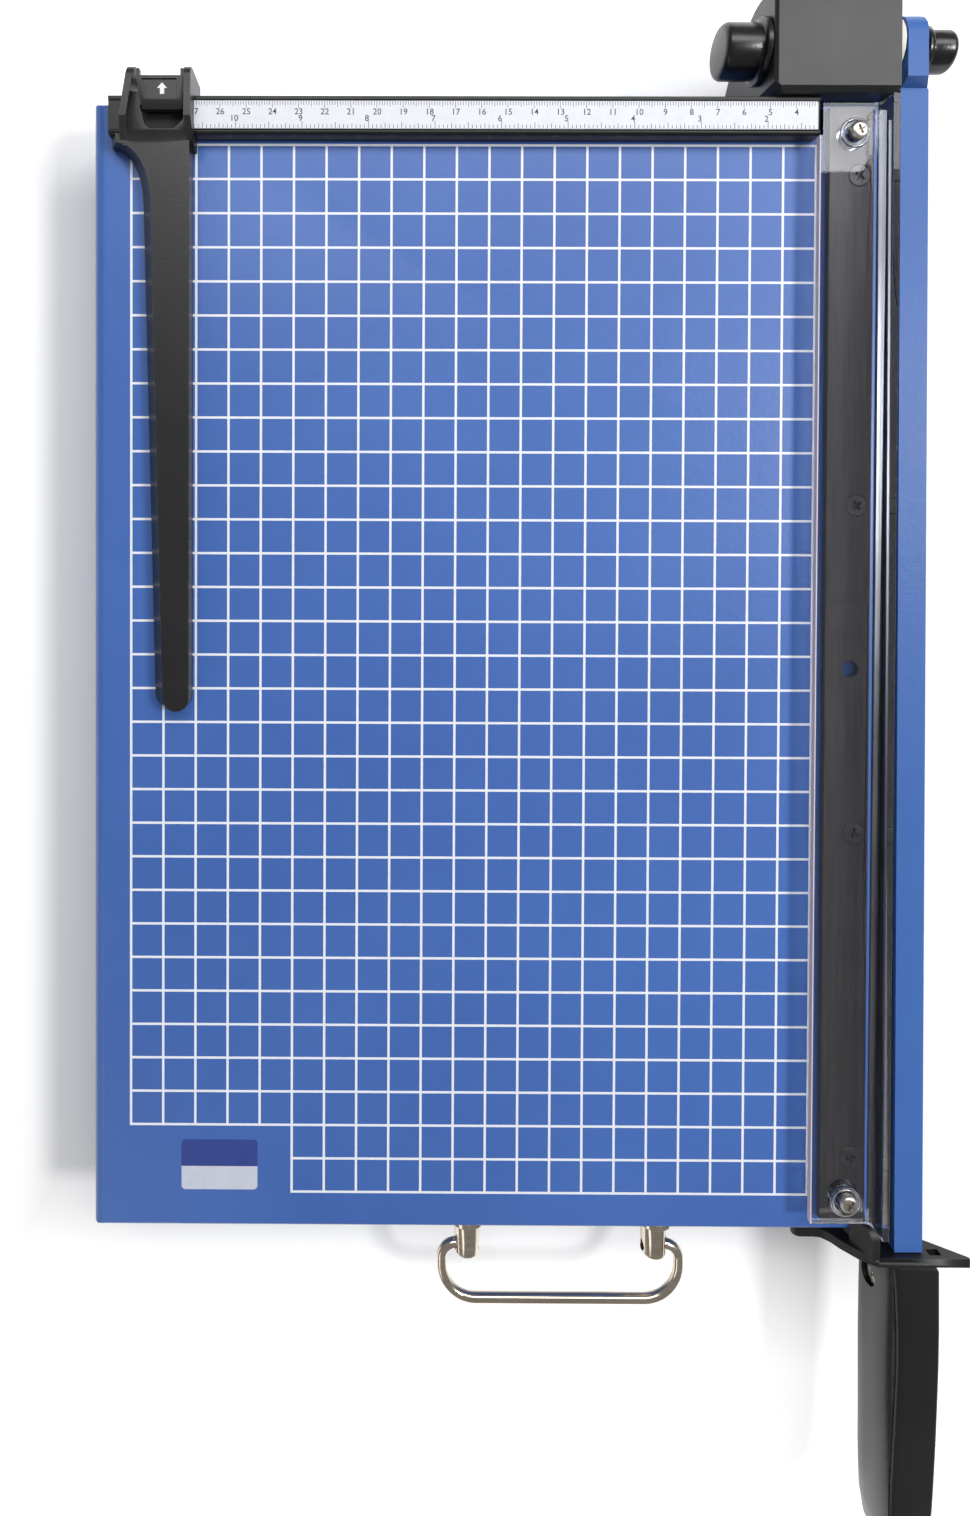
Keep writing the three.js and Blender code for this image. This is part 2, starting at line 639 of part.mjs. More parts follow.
function bedShell() {
  const outside = alongY(
    trayOutline(bedLeft, bedRight, FOOT_STAND, BED_HEIGHT, WIDE_FOLD, TIGHT_FOLD),
    0,
    BED_LENGTH,
  ).intersect(
    alongX(trayOutline(0, BED_LENGTH, FOOT_STAND, BED_HEIGHT, TIGHT_FOLD, TIGHT_FOLD), bedLeft, bedRight),
  );
  const innerWide = WIDE_FOLD - SHEET;
  const innerTight = TIGHT_FOLD - SHEET;
  const floor = FOOT_STAND + SHEET;
  const inside = alongY(
    trayOutline(bedLeft + SHEET, bedRight - SHEET, floor, underBed, innerWide, innerTight),
    SHEET,
    BED_LENGTH - SHEET,
  ).intersect(
    alongX(
      trayOutline(SHEET, BED_LENGTH - SHEET, floor, underBed, innerTight, innerTight),
      bedLeft + SHEET,
      bedRight - SHEET,
    ),
  );
  const window = block(
    bedLeft + LIP_WIDTH,
    bedRight - LIP_WIDTH,
    LIP_WIDTH,
    BED_LENGTH - LIP_WIDTH,
    FOOT_STAND - OVERRUN,
    floor + OVERRUN,
  );
  return cut(outside, inside, window, ...bedHoles());
}

function bedHoles() {
  const low = underBed - OVERRUN;
  const high = BED_HEIGHT + OVERRUN;
  const clampHoles = clampScrews.map((y) => barZ(-CLAMP_SCREW_X, y, low, high, CLAMP_SCREW_RADIUS + SEAT));
  const guardHoles = guardScrews.map((y) => barZ(-GUARD_SCREW_X, y, low, high, GUARD_SCREW_RADIUS + SEAT));
  const railY = railFront + RAIL_DEPTH / 2;
  const railHoles = railScrews.map((x) => barZ(x, railY, low, high, RAIL_SCREW_RADIUS + SEAT));
  const footHoles = Object.values(footPlaces).map(([x, y]) =>
    barZ(x, y, FOOT_STAND - OVERRUN, FOOT_STAND + SHEET + OVERRUN, FOOT_STEM_RADIUS + SEAT),
  );
  const screwZ = BED_HEIGHT - LOWER_SCREW_DROP;
  const bladeHoles = lowerScrews.map((y) =>
    barX(bedRight - SHEET - OVERRUN, bedRight + OVERRUN, y, screwZ, SCREW_RADIUS + SCREW_FIT),
  );
  const hubHoles = hubScrews.map((x) =>
    barY(
      x,
      BED_LENGTH - SHEET - OVERRUN,
      BED_LENGTH + OVERRUN,
      BED_HEIGHT - HUB_SCREW_DROP,
      HUB_SCREW_RADIUS + SCREW_FIT,
    ),
  );
  const postHoles = bailPosts.map((x) => barY(x, -OVERRUN, SHEET + OVERRUN, bailZ, RIVET_RADIUS + SEAT));
  const upright = [...clampHoles, ...guardHoles, ...railHoles, ...footHoles];
  return [...upright, ...bladeHoles, ...hubHoles, ...postHoles];
}

// A rubber foot pushed through the lip
function foot(x, y) {
  const top = FOOT_STAND - SEAT;
  const lipTop = FOOT_STAND + SHEET + SEAT;
  const edge = top / 4;
  return turnedUp(
    [
      point(0, 0),
      point(FOOT_RADIUS - edge, 0),
      point(FOOT_RADIUS, edge),
      point(FOOT_RADIUS - edge, top),
      point(FOOT_STEM_RADIUS, top),
      point(FOOT_STEM_RADIUS, lipTop),
      point(FOOT_BARB_RADIUS, lipTop),
      point(FOOT_STEM_RADIUS / 2, lipTop + FOOT_BARB_HEIGHT),
      point(0, lipTop + FOOT_BARB_HEIGHT),
    ],
    x,
    y,
    0,
    SMALL_SIDES,
  );
}

// The ruler rail: a channel on top for the strip, a groove behind for the guide's hook
function rulerRail() {
  const low = BED_HEIGHT + SEAT;
  const stripFront = railFront + STRIP_INSET;
  const stripRear = stripFront + STRIP_WIDTH + 2 * SEAT;
  const stripLow = railTop - STRIP_THICKNESS;
  const grooveLow = BED_HEIGHT + RAIL_GROOVE_LOW;
  const outline = [
    point(railFront, low),
    point(BED_LENGTH, low),
    point(BED_LENGTH, grooveLow),
    point(BED_LENGTH - RAIL_GROOVE_DEPTH, grooveLow),
    point(BED_LENGTH - RAIL_GROOVE_DEPTH, grooveLow + RAIL_GROOVE_HEIGHT),
    point(BED_LENGTH, grooveLow + RAIL_GROOVE_HEIGHT),
    point(BED_LENGTH, railTop),
    point(stripRear, railTop),
    point(stripRear, stripLow),
    point(stripFront, stripLow),
    point(stripFront, railTop),
    point(railFront + RAIL_CHAMFER, railTop),
    point(railFront, railTop - RAIL_CHAMFER),
  ];
  const rail = alongX(outline, railLeft, -RAIL_RIGHT);
  const screwTop = underBed + RAIL_SCREW_LENGTH;
  const holes = railScrews.map((x) =>
    barZ(x, railFront + RAIL_DEPTH / 2, low - OVERRUN, screwTop, RAIL_SCREW_RADIUS + SEAT),
  );
  return cut(rail, ...holes);
}

function rulerStrip() {
  const front = railFront + STRIP_INSET + SEAT;
  const low = railTop - STRIP_THICKNESS + SEAT / 2;
  const right = -RAIL_RIGHT - STRIP_END;
  return block(railLeft + STRIP_START, right, front, front + STRIP_WIDTH, low, railTop);
}

function railScrew(x) {
  const radius = RAIL_SCREW_RADIUS;
  const profile = panProfile(radius, 2 * radius, radius, RAIL_SCREW_LENGTH - SEAT);
  const flipped = profile.map((p) => point(p.x, -p.y));
  return turnedUp(flipped, x, railFront + RAIL_DEPTH / 2, underBed - SEAT, SMALL_SIDES);
}

// The lower blade: its cutting edge is the bed's right edge
function lowerBlade() {
  const low = BED_HEIGHT - LOWER_BLADE_HEIGHT;
  const land = BED_HEIGHT - LOWER_BLADE_LAND;
  const outline = [
    point(-LOWER_BLADE_THICKNESS, low),
    point(-LOWER_BLADE_RELIEF, low),
    point(-LOWER_BLADE_RELIEF, land - LOWER_BLADE_RELIEF),
    point(0, land),
    point(0, BED_HEIGHT),
    point(-LOWER_BLADE_THICKNESS, BED_HEIGHT),
  ];
  const strip = alongY(outline, LOWER_BLADE_INSET, BED_LENGTH - LOWER_BLADE_INSET);
  const z = BED_HEIGHT - LOWER_SCREW_DROP;
  const holes = lowerScrews.map((y) =>
    turnedRight(countersinkProfile(LOWER_BLADE_THICKNESS), -LOWER_BLADE_RELIEF, y, z, SMALL_SIDES),
  );
  return cut(strip, ...holes);
}

// The clearance cut for a countersunk blade screw through a given thickness
function countersinkProfile(thickness) {
  const mouth = SCREW_HEAD_RADIUS + SEAT;
  const depth = SCREW_HEAD_HEIGHT + SCREW_SINK + SEAT;
  return [
    point(0, -thickness - OVERRUN),
    point(screwHoleRadius, -thickness - OVERRUN),
    point(screwHoleRadius, -depth),
    point(mouth, -SCREW_SINK - SEAT),
    point(mouth, OVERRUN),
    point(0, OVERRUN),
  ];
}

function bladeScrewProfile(length) {
  return countersunkProfile(SCREW_RADIUS, SCREW_HEAD_RADIUS, SCREW_HEAD_HEIGHT, length);
}

function lowerBladeScrew(y) {
  const profile = bladeScrewProfile(LOWER_SCREW_LENGTH);
  const face = -LOWER_BLADE_RELIEF - SCREW_SINK;
  return turnedRight(profile, face, y, BED_HEIGHT - LOWER_SCREW_DROP, SMALL_SIDES);
}

// The clear guard: an L bent from one sheet, notched round the rail's end
function clearGuard() {
  const top = BED_HEIGHT + GUARD_TOP;
  const wallLeft = -GUARD_RIGHT - GUARD_SHEET;
  const outline = [
    point(-GUARD_LEFT, guardUnder),
    ...arc(-GUARD_RIGHT - GUARD_BEND, guardUnder + GUARD_BEND, GUARD_BEND, -QUARTER, 0),
    point(-GUARD_RIGHT, BED_HEIGHT + GUARD_WALL_TOP),
    point(wallLeft, BED_HEIGHT + GUARD_WALL_TOP),
    ...arc(wallLeft - GUARD_BEND, top + GUARD_BEND, GUARD_BEND, 0, -QUARTER),
    point(-GUARD_LEFT, top),
  ];
  const rear = BED_LENGTH - GUARD_REAR;
  const guard = alongY(outline, GUARD_FRONT, rear);
  const notch = block(
    -GUARD_LEFT - OVERRUN,
    -RAIL_RIGHT + SEAT,
    railFront - SEAT,
    rear + OVERRUN,
    guardUnder - OVERRUN,
    top + OVERRUN,
  );
  const holes = guardScrews.map((y) =>
    barZ(-GUARD_SCREW_X, y, guardUnder - OVERRUN, top + OVERRUN, GUARD_SCREW_RADIUS + SEAT),
  );
  return cut(guard, notch, ...holes);
}

function guardScrew(y) {
  const head = BED_HEIGHT + GUARD_TOP + SEAT;
  const length = head - underBed + GUARD_SCREW_GRIP;
  const profile = panProfile(
    GUARD_SCREW_RADIUS,
    GUARD_SCREW_HEAD_RADIUS,
    GUARD_SCREW_HEAD_HEIGHT,
    length,
  );
  return turnedUp(profile, -GUARD_SCREW_X, y, head, SMALL_SIDES);
}

function guardSpacer(y) {
  const inner = GUARD_SCREW_RADIUS + SEAT;
  const profile = ring(inner, SPACER_RADIUS, BED_HEIGHT + SEAT, guardUnder - SEAT);
  return turnedUp(profile, -GUARD_SCREW_X, y, 0);
}

// The clamp bar: it rides up and down on its four long screws, clear of the guard's two spacers
function clampBar() {
  const rear = BED_LENGTH - CLAMP_REAR;
  const strip = block(-CLAMP_LEFT, -CLAMP_RIGHT, CLAMP_FRONT, rear, clampLow, clampTop);
  const low = clampLow - OVERRUN;
  const high = clampTop + OVERRUN;
  const spacerHoles = guardScrews.map((y) =>
    barZ(-GUARD_SCREW_X, y, low, high, SPACER_RADIUS + 2 * SEAT, ROUND_SIDES),
  );
  const screwHoles = clampScrews.map((y) =>
    turnedUp(
      [
        point(0, low - clampTop),
        point(CLAMP_SCREW_RADIUS + SEAT, low - clampTop),
        point(CLAMP_SCREW_RADIUS + SEAT, -CLAMP_SCREW_HEAD_HEIGHT - SEAT),
        point(CLAMP_SCREW_HEAD_RADIUS + SEAT, -SEAT),
        point(CLAMP_SCREW_HEAD_RADIUS + SEAT, OVERRUN),
        point(0, OVERRUN),
      ],
      -CLAMP_SCREW_X,
      y,
      clampTop,
      SMALL_SIDES,
    ),
  );
  const windowY = BED_LENGTH / 2 + CLAMP_WINDOW_BEHIND;
  const window = barZ(-CLAMP_WINDOW_X, windowY, low, high, CLAMP_WINDOW_RADIUS);
  return cut(strip, ...spacerHoles, ...screwHoles, window);
}

function clampScrew(y) {
  const profile = countersunkProfile(
    CLAMP_SCREW_RADIUS,
    CLAMP_SCREW_HEAD_RADIUS,
    CLAMP_SCREW_HEAD_HEIGHT,
    CLAMP_SCREW_LENGTH,
  );
  return turnedUp(profile, -CLAMP_SCREW_X, y, clampTop, SMALL_SIDES);
}

const clampNutTop = clampTop - CLAMP_SCREW_LENGTH + CLAMP_NUT_HEIGHT + CLAMP_SCREW_RADIUS;

function clampNut(y) {
  const inner = CLAMP_SCREW_RADIUS + SEAT;
  const profile = ring(inner, CLAMP_NUT_RADIUS, clampNutTop - CLAMP_NUT_HEIGHT, clampNutTop);
  return turnedUp(profile, -CLAMP_SCREW_X, y, 0, SMALL_SIDES);
}

function clampSpring(name, y) {
  const low = clampNutTop + SEAT;
  const length = underBed - SEAT - low;
  return coilSpring(name, SPRING_RADIUS, SPRING_WIRE, SPRING_TURNS, length, (geometry) =>
    geometry.translate(-CLAMP_SCREW_X, y, low),
  );
}

// The pivot hub: a moulded block behind the bed with a round nose about the axis
function pivotHub() {
  const front = BED_LENGTH + SEAT;
  const top = pivotZ + HUB_RISE;
  const bottom = pivotZ - HUB_DROP;
  const noseEnd = THREE.MathUtils.radToDeg(Math.asin(HUB_RISE / HUB_NOSE_RADIUS));
  const outline = [
    point(front, bottom),
    point(pivotY - HUB_HEEL, bottom),
    point(pivotY + HUB_TAIL, pivotZ - HUB_DROP * HUB_TAIL_SHARE),
    ...arc(pivotY, pivotZ, HUB_NOSE_RADIUS, HUB_NOSE_START, noseEnd, 2 * CORNER_STEPS),
    point(front + HUB_FRONT_EDGE, top),
    point(front, top - HUB_FRONT_EDGE),
  ];
  const left = -HUB_LEFT;
  const hub = alongX(outline, left, -HUB_RIGHT);
  const corner = alongZ(
    [
      point(left - OVERRUN, front - OVERRUN),
      point(left + HUB_CHAMFER + OVERRUN, front - OVERRUN),
      point(left - OVERRUN, front + HUB_CHAMFER + OVERRUN),
    ],
    bottom - OVERRUN,
    top + OVERRUN,
  );
  const edge = alongY(
    [
      point(left - OVERRUN, top + OVERRUN),
      point(left - OVERRUN, top - HUB_EDGE - OVERRUN),
      point(left + HUB_EDGE + OVERRUN, top + OVERRUN),
    ],
    front - OVERRUN,
    pivotY + HUB_NOSE_RADIUS + OVERRUN,
  );
  const bore = barX(left - OVERRUN, -HUB_RIGHT + OVERRUN, pivotY, pivotZ, shaftHoleRadius, ROUND_SIDES);
  const screwZ = BED_HEIGHT - HUB_SCREW_DROP;
  const holes = hubScrews.map((x) =>
    barY(x, front - OVERRUN, BED_LENGTH - SHEET + HUB_SCREW_LENGTH, screwZ, HUB_SCREW_RADIUS + SEAT),
  );
  return cut(hub, corner, edge, bore, ...holes);
}

function hubScrew(x) {
  const profile = panProfile(
    HUB_SCREW_RADIUS,
    HUB_SCREW_HEAD_RADIUS,
    HUB_SCREW_HEAD_HEIGHT,
    HUB_SCREW_LENGTH - 2 * SEAT,
  );
  const seat = BED_LENGTH - SHEET - SEAT;
  return turnedForward(profile, x, seat, BED_HEIGHT - HUB_SCREW_DROP, SMALL_SIDES);
}

// The pivot bolt: hexagon head on the left, shoulder, then a thinner thread for the nut
function pivotBolt() {
  const headFace = -HUB_LEFT - SEAT;
  const profile = [
    point(0, headFace - BOLT_HEAD_HEIGHT / 2),
    point(BOLT_RADIUS, headFace - BOLT_HEAD_HEIGHT / 2),
    point(BOLT_RADIUS, eyeRight),
    point(BOLT_THREAD_RADIUS, eyeRight),
    point(BOLT_THREAD_RADIUS, eyeRight + BOLT_THREAD_LENGTH),
    point(0, eyeRight + BOLT_THREAD_LENGTH),
  ];
  const shank = turnedRight(profile, 0, pivotY, pivotZ);
  const head = solidOf(
    hexagon(BOLT_HEAD_ACROSS, BOLT_HEAD_HEIGHT)
      .rotateZ(Math.PI / 2)
      .translate(headFace - BOLT_HEAD_HEIGHT / 2, pivotY, pivotZ),
  );
  return join(shank, head);
}

function pivotNut() {
  const left = eyeRight + SEAT;
  const body = solidOf(
    hexagon(NUT_ACROSS, NUT_HEIGHT)
      .rotateZ(Math.PI / 2)
      .translate(left + NUT_HEIGHT / 2, pivotY, pivotZ),
  );
  const right = left + NUT_HEIGHT + OVERRUN;
  return cut(body, barX(left - OVERRUN, right, pivotY, pivotZ, BOLT_THREAD_RADIUS + SEAT));
}

const washerLeft = -HUB_RIGHT + SEAT;
const discLeft = washerLeft + WASHER_THICKNESS + SEAT;

function frictionWasher() {
  const right = washerLeft + WASHER_THICKNESS;
  const profile = ring(shaftHoleRadius, WASHER_RADIUS, washerLeft, right);
  return turnedRight(profile, 0, pivotY, pivotZ);
}

function springWasher() {
  const inner = shaftHoleRadius;
  return turnedRight(
    [
      point(inner, discLeft + DISC_DISH),
      point(DISC_RADIUS, discLeft),
      point(DISC_RADIUS, discLeft + DISC_THICKNESS),
      point(inner, discLeft + DISC_DISH + DISC_THICKNESS),
    ],
    0,
    pivotY,
    pivotZ,
  );
}

// The bronze bush pressed into the arm's eye, its flange against the spring washer
function armBush() {
  const outer = shaftHoleRadius + BUSH_WALL;
  const flangeLeft = ARM_GAP - SEAT - BUSH_FLANGE_THICKNESS;
  return turnedRight(
    [
      point(shaftHoleRadius, flangeLeft),
      point(BUSH_FLANGE_RADIUS, flangeLeft),
      point(BUSH_FLANGE_RADIUS, ARM_GAP - SEAT),
      point(outer, ARM_GAP - SEAT),
      point(outer, eyeRight - SEAT),
      point(shaftHoleRadius, eyeRight - SEAT),
    ],
    0,
    pivotY,
    pivotZ,
  );
}

// A push-on cap: a cup with a flange round its mouth and a rounded end
function capProfile(radius, length, flangeRadius, wall) {
  const end = length - CAP_ROUND;
  return [
    point(0, length - 2 * wall),
    point(radius - wall, length - 2 * wall),
    point(radius - wall, 0),
    point(flangeRadius, 0),
    point(flangeRadius, CAP_FLANGE - SEAT),
    point(flangeRadius - SEAT, CAP_FLANGE),
    point(radius, CAP_FLANGE),
    ...arc(radius - CAP_ROUND, end, CAP_ROUND, 0, QUARTER),
    point(0, length + SEAT),
  ];
}

function leftCap() {
  const profile = capProfile(
    LEFT_CAP_RADIUS,
    LEFT_CAP_LENGTH,
    LEFT_CAP_FLANGE_RADIUS,
    LEFT_CAP_WALL,
  );
  return turnedLeft(profile, -HUB_LEFT - SEAT, pivotY, pivotZ);
}

function rightCap() {
  const profile = capProfile(
    RIGHT_CAP_RADIUS,
    RIGHT_CAP_LENGTH,
    RIGHT_CAP_FLANGE_RADIUS,
    RIGHT_CAP_WALL,
  );
  return turnedRight(profile, eyeRight + SEAT, pivotY, pivotZ);
}

// The blade arm: one steel bar with an eye at the rear and a tang for the handle at the front
function armBar() {
  const front = -ARM_FRONT;
  const eyeFront = pivotY - ARM_EYE_REACH;
  const endY = pivotY + ARM_EYE_REACH - ARM_EYE_RADIUS;
  const outline = [
    point(front, armTopFront - ARM_DEPTH + ARM_NOSE),
    point(front + ARM_NOSE, armTopFront - ARM_DEPTH),
    point(pivotY - ARM_BELLY, armTopRear - ARM_DEPTH),
    ...arc(endY, pivotZ, ARM_EYE_RADIUS, -QUARTER, QUARTER, 2 * CORNER_STEPS),
    point(eyeFront, pivotZ + ARM_EYE_RADIUS),
    point(pivotY - ARM_NECK, armTopRear),
    point(front, armTopFront),
  ];
  const barBody = alongX(outline, ARM_GAP, armRight);
  const step = armRight - eyeRight + OVERRUN;
  const beyond = pivotY + ARM_EYE_REACH + OVERRUN;
  const relief = alongZ(
    [
      point(eyeRight, eyeFront),
      point(eyeRight + step, eyeFront - step),
      point(eyeRight + step, beyond),
      point(eyeRight, beyond),
    ],
    pivotZ - ARM_DEPTH - OVERRUN,
    pivotZ + ARM_DEPTH,
  );
  const tang = block(
    TANG_GAP,
    TANG_GAP + TANG_THICKNESS,
    gripRear - tangLength,
    front + OVERRUN,
    tangTop - TANG_HEIGHT,
    tangTop,
  );
  const eye = barX(
    ARM_GAP - OVERRUN,
    armRight + OVERRUN,
    pivotY,
    pivotZ,
    shaftHoleRadius + BUSH_WALL + SEAT,
    ROUND_SIDES,
  );
  const screwHoles = bladeScrews.map((y) =>
    turnedRight(countersinkProfile(ARM_THICKNESS), armRight, y, bladeScrewZ, SMALL_SIDES),
  );
  const tangHoles = handleScrews.map((y) =>
    barX(TANG_GAP - OVERRUN, TANG_GAP + TANG_THICKNESS + OVERRUN, y, handleScrewZ, screwHoleRadius),
  );
  return cut(join(cut(barBody, relief), tang), eye, ...screwHoles, ...tangHoles);
}

const bladeLength = bladeRear - bladeFront;
const bladeScrews = Array.from({ length: BLADE_SCREW_COUNT }, (_, i) => {
  const between = (1 - 2 * BLADE_SCREW_END_SHARE) / (BLADE_SCREW_COUNT - 1);
  return bladeFront + bladeLength * (BLADE_SCREW_END_SHARE + i * between);
});

// The upper blade: a bowed cutting edge, ground on the side away from the bed
function upperBlade() {
  const slope = (armTopRear - armTopFront) / (pivotY - ARM_NECK + ARM_FRONT);
  const rings = Array.from({ length: BLADE_STATIONS + 1 }, (_, i) => {
    const share = i / BLADE_STATIONS;
    const y = bladeFront + share * bladeLength;
    const top = armTopFront + slope * (y + ARM_FRONT) - BLADE_TOP_DROP;
    const edge = top - BLADE_END_HEIGHT - BLADE_BOW * (1 - (2 * share - 1) ** 2);
    return [
      new THREE.Vector3(BLADE_GAP, y, top),
      new THREE.Vector3(bladeRight, y, top),
      new THREE.Vector3(bladeRight, y, edge + BLADE_BEVEL),
      new THREE.Vector3(BLADE_GAP, y, edge),
    ];
  });
  const strip = lofted(rings, 'z', 'x');
  const holes = bladeScrews.map((y) =>
    barX(BLADE_GAP - OVERRUN, bladeRight + OVERRUN, y, bladeScrewZ, screwHoleRadius),
  );
  return cut(strip, ...holes);
}

function bladeScrew(y) {
  const length = armRight - SCREW_SINK - BLADE_GAP - SEAT;
  const profile = bladeScrewProfile(length);
  return turnedRight(profile, armRight - SCREW_SINK, y, bladeScrewZ, SMALL_SIDES);
}

// The hand guard: a plate across the arm with a finger to the left and a wing to the right
function handGuard() {
  const top = BED_HEIGHT + SHIELD_TOP;
  const bottom = BED_HEIGHT - SHIELD_BOTTOM;
  const fingerTop = BED_HEIGHT - FINGER_TOP;
  const tipRadius = FINGER_HEIGHT / 2;
  const tipX = -SHIELD_LEFT + tipRadius;
  const rise = top - fingerTop;
  const run = SHIELD_STEP_LEFT - SHIELD_STEP_RIGHT;
  const steps = SHIELD_STEP_SHARES.map(([along, up]) =>
    point(-SHIELD_STEP_LEFT + along * run, fingerTop + up * rise),
  );
  const outline = [
    point(-SHIELD_BODY_LEFT, bottom),
    point(SHIELD_BODY_RIGHT, bottom),
    point(SHIELD_BODY_RIGHT, BED_HEIGHT - WING_ROOT),
    point(SHIELD_RIGHT, top - WING_THICKNESS),
    point(SHIELD_RIGHT, top),
    ...steps.reverse(),
    ...arc(tipX, fingerTop - tipRadius, tipRadius, QUARTER, 3 * QUARTER, 2 * CORNER_STEPS),
  ];
  const plate = alongY(outline, shieldFront, shieldRear);
  const slot = block(
    SLOT_LEFT,
    SLOT_LEFT + SLOT_WIDTH,
    shieldFront - OVERRUN,
    shieldRear + OVERRUN,
    BED_HEIGHT + SLOT_TOP - SLOT_HEIGHT,
    BED_HEIGHT + SLOT_TOP,
  );
  const window = block(
    TANG_GAP - SEAT,
    TANG_GAP + TANG_THICKNESS + SEAT,
    shieldFront - OVERRUN,
    shieldRear + OVERRUN,
    tangTop - TANG_HEIGHT - SEAT,
    tangTop + SEAT,
  );
  return cut(join(plate, handGuardGusset(top)), slot, window);
}

// The rib behind the hand guard: wider at its foot, rounded at the rear, clear of the bed
function handGuardGusset(top) {
  const overBed = BED_HEIGHT + GUSSET_CLEAR;
  const low = BED_HEIGHT - GUSSET_LOW;
  const reach = shieldRear + GUSSET_REACH;
  const root = shieldRear - SHIELD_THICKNESS / 2;
  const side = alongX(
    [
      point(root, low),
      point(shieldRear + GUSSET_CLEAR, low),
      point(-2 * SEAT - GUSSET_CLEAR, overBed),
      point(reach - GUSSET_CLEAR, overBed),
      ...arc(reach - GUSSET_ROUND, top - GUSSET_ROUND, GUSSET_ROUND, 0, QUARTER),
      point(root, top),
    ],
    -GUSSET_LEFT,
    -GUSSET_RIGHT,
  );
  const section = alongY(
    [
      point(-GUSSET_LEFT, low - OVERRUN),
      point(-GUSSET_RIGHT + OVERRUN, low - OVERRUN),
      point(-GUSSET_RIGHT + OVERRUN, top + OVERRUN),
      point(-GUSSET_TOP_LEFT, top + OVERRUN),
      point(-GUSSET_TOP_LEFT, top),
      point(-GUSSET_LEFT, overBed),
    ],
    root - OVERRUN,
    reach + OVERRUN,
  );
  return side.intersect(section);
}

// The handle grip: a tapering rounded section, split down the middle round the tang
function sectionRing(width, height, corner, left, top, y) {
  const corners = [
    [left + corner, top - height + corner],
    [left + width - corner, top - height + corner],
    [left + width - corner, top - corner],
    [left + corner, top - corner],
  ];
  return corners
    .flatMap(([x, z], i) => arc(x, z, corner, (i + 2) * QUARTER, (i + 3) * QUARTER))
    .map((p) => new THREE.Vector3(p.x, y, p.y));
}

function gripBody() {
  const rings = GRIP_STATION_SHARES.map(([along, wide, high, drop]) => {
    const width = GRIP_WIDTH * wide;
    const height = gripHeight * high;
    const largest = (GRIP_END_CORNER_SHARE * Math.min(width, height)) / 2;
    const corner = Math.min(GRIP_CORNER + GRIP_CORNER_GROWTH * drop, largest);
    const left = -GRIP_LEFT + (GRIP_WIDTH - width) * GRIP_LEFT_SHARE;
    const top = gripTop - GRIP_DROP * drop;
    return sectionRing(width, height, corner, left, top, gripRear - along * GRIP_LENGTH);
  });
  return lofted(rings, 'x', 'z');
}

function gripHalves() {
  const body = gripBody();
  const far = GRIP_WIDTH + OVERRUN;
  const room = [gripRear - GRIP_LENGTH - OVERRUN, gripRear + OVERRUN, -BED_HEIGHT, 2 * BED_HEIGHT];
  const pocket = block(
    TANG_GAP - SEAT,
    TANG_GAP + TANG_THICKNESS + SEAT,
    gripRear - tangLength - SEAT,
    gripRear + OVERRUN,
    tangTop - TANG_HEIGHT - SEAT,
    tangTop + SEAT,
  );
  const screwWays = handleScrews.flatMap((y) => [
    barX(-far, handleScrewEnd + SEAT, y, handleScrewZ, screwHoleRadius),
    barX(-far, handleHeadFace + SEAT, y, handleScrewZ, HANDLE_POCKET_RADIUS),
    turnedLeft(handleSinkProfile(), handleHeadFace, y, handleScrewZ, SMALL_SIDES),
  ]);
  const hollow = cut(body, pocket, ...screwWays);
  return {
    left: cut(hollow, block(seamX - SEAT / 2, far, ...room)),
    right: cut(hollow, block(-far, seamX + SEAT / 2, ...room)),
  };
}

const handleHeadFace = -GRIP_LEFT + HANDLE_SINK;
const handleScrewEnd = handleHeadFace + HANDLE_SCREW_LENGTH;

function handleSinkProfile() {
  return [
    point(0, -SCREW_HEAD_HEIGHT - SEAT),
    point(screwHoleRadius, -SCREW_HEAD_HEIGHT - SEAT),
    point(SCREW_HEAD_RADIUS + SEAT, -SEAT),
    point(SCREW_HEAD_RADIUS + SEAT, OVERRUN),
    point(0, OVERRUN),
  ];
}

function handleScrew(y) {
  const profile = bladeScrewProfile(HANDLE_SCREW_LENGTH);
  return turnedLeft(profile, handleHeadFace, y, handleScrewZ, SMALL_SIDES);
}

// The side guide: a long square edge for the paper, and a carriage that bridges the rail
function guidePlan(widen) {
  const tipRadius = GUIDE_TIP_WIDTH / 2;
  const tipX = guideEdge - tipRadius;
  const tipY = GUIDE_TIP + tipRadius;
  const left = guideLeft - GUIDE_FLARE_SHARE * widen;
  const curveX = guideEdge - GUIDE_ROOT_WIDTH - widen - left;
  const curveY = railFront - GUIDE_ROOT - GUIDE_CURVE;
  return [
    point(guideEdge, railFront - SEAT),
    point(left, railFront - SEAT),
    ...arc(left, curveY, curveX, QUARTER, 0, 2 * CORNER_STEPS, GUIDE_CURVE),
    ...arc(tipX, tipY, tipRadius + widen, 2 * QUARTER, 3 * QUARTER, CORNER_STEPS, tipRadius),
    ...arc(tipX, tipY, tipRadius, 3 * QUARTER, 4 * QUARTER).slice(1),
  ];
}

function guideLever() {
  const low = BED_HEIGHT + SEAT;
  const flankTop = BED_HEIGHT + GUIDE_HEIGHT * GUIDE_FLANK_SHARE;
  const levels = [
    [low, GUIDE_FLANK],
    [low + GUIDE_HEIGHT / 4, GUIDE_FLANK],
    [flankTop, GUIDE_FLANK / 4],
    [BED_HEIGHT + GUIDE_HEIGHT, 0],
  ];
  const rings = levels.map(([z, widen]) =>
    guidePlan(widen).map((p) => new THREE.Vector3(p.x, p.y, z)),
  );
  return lofted(rings, 'x', 'y');
}

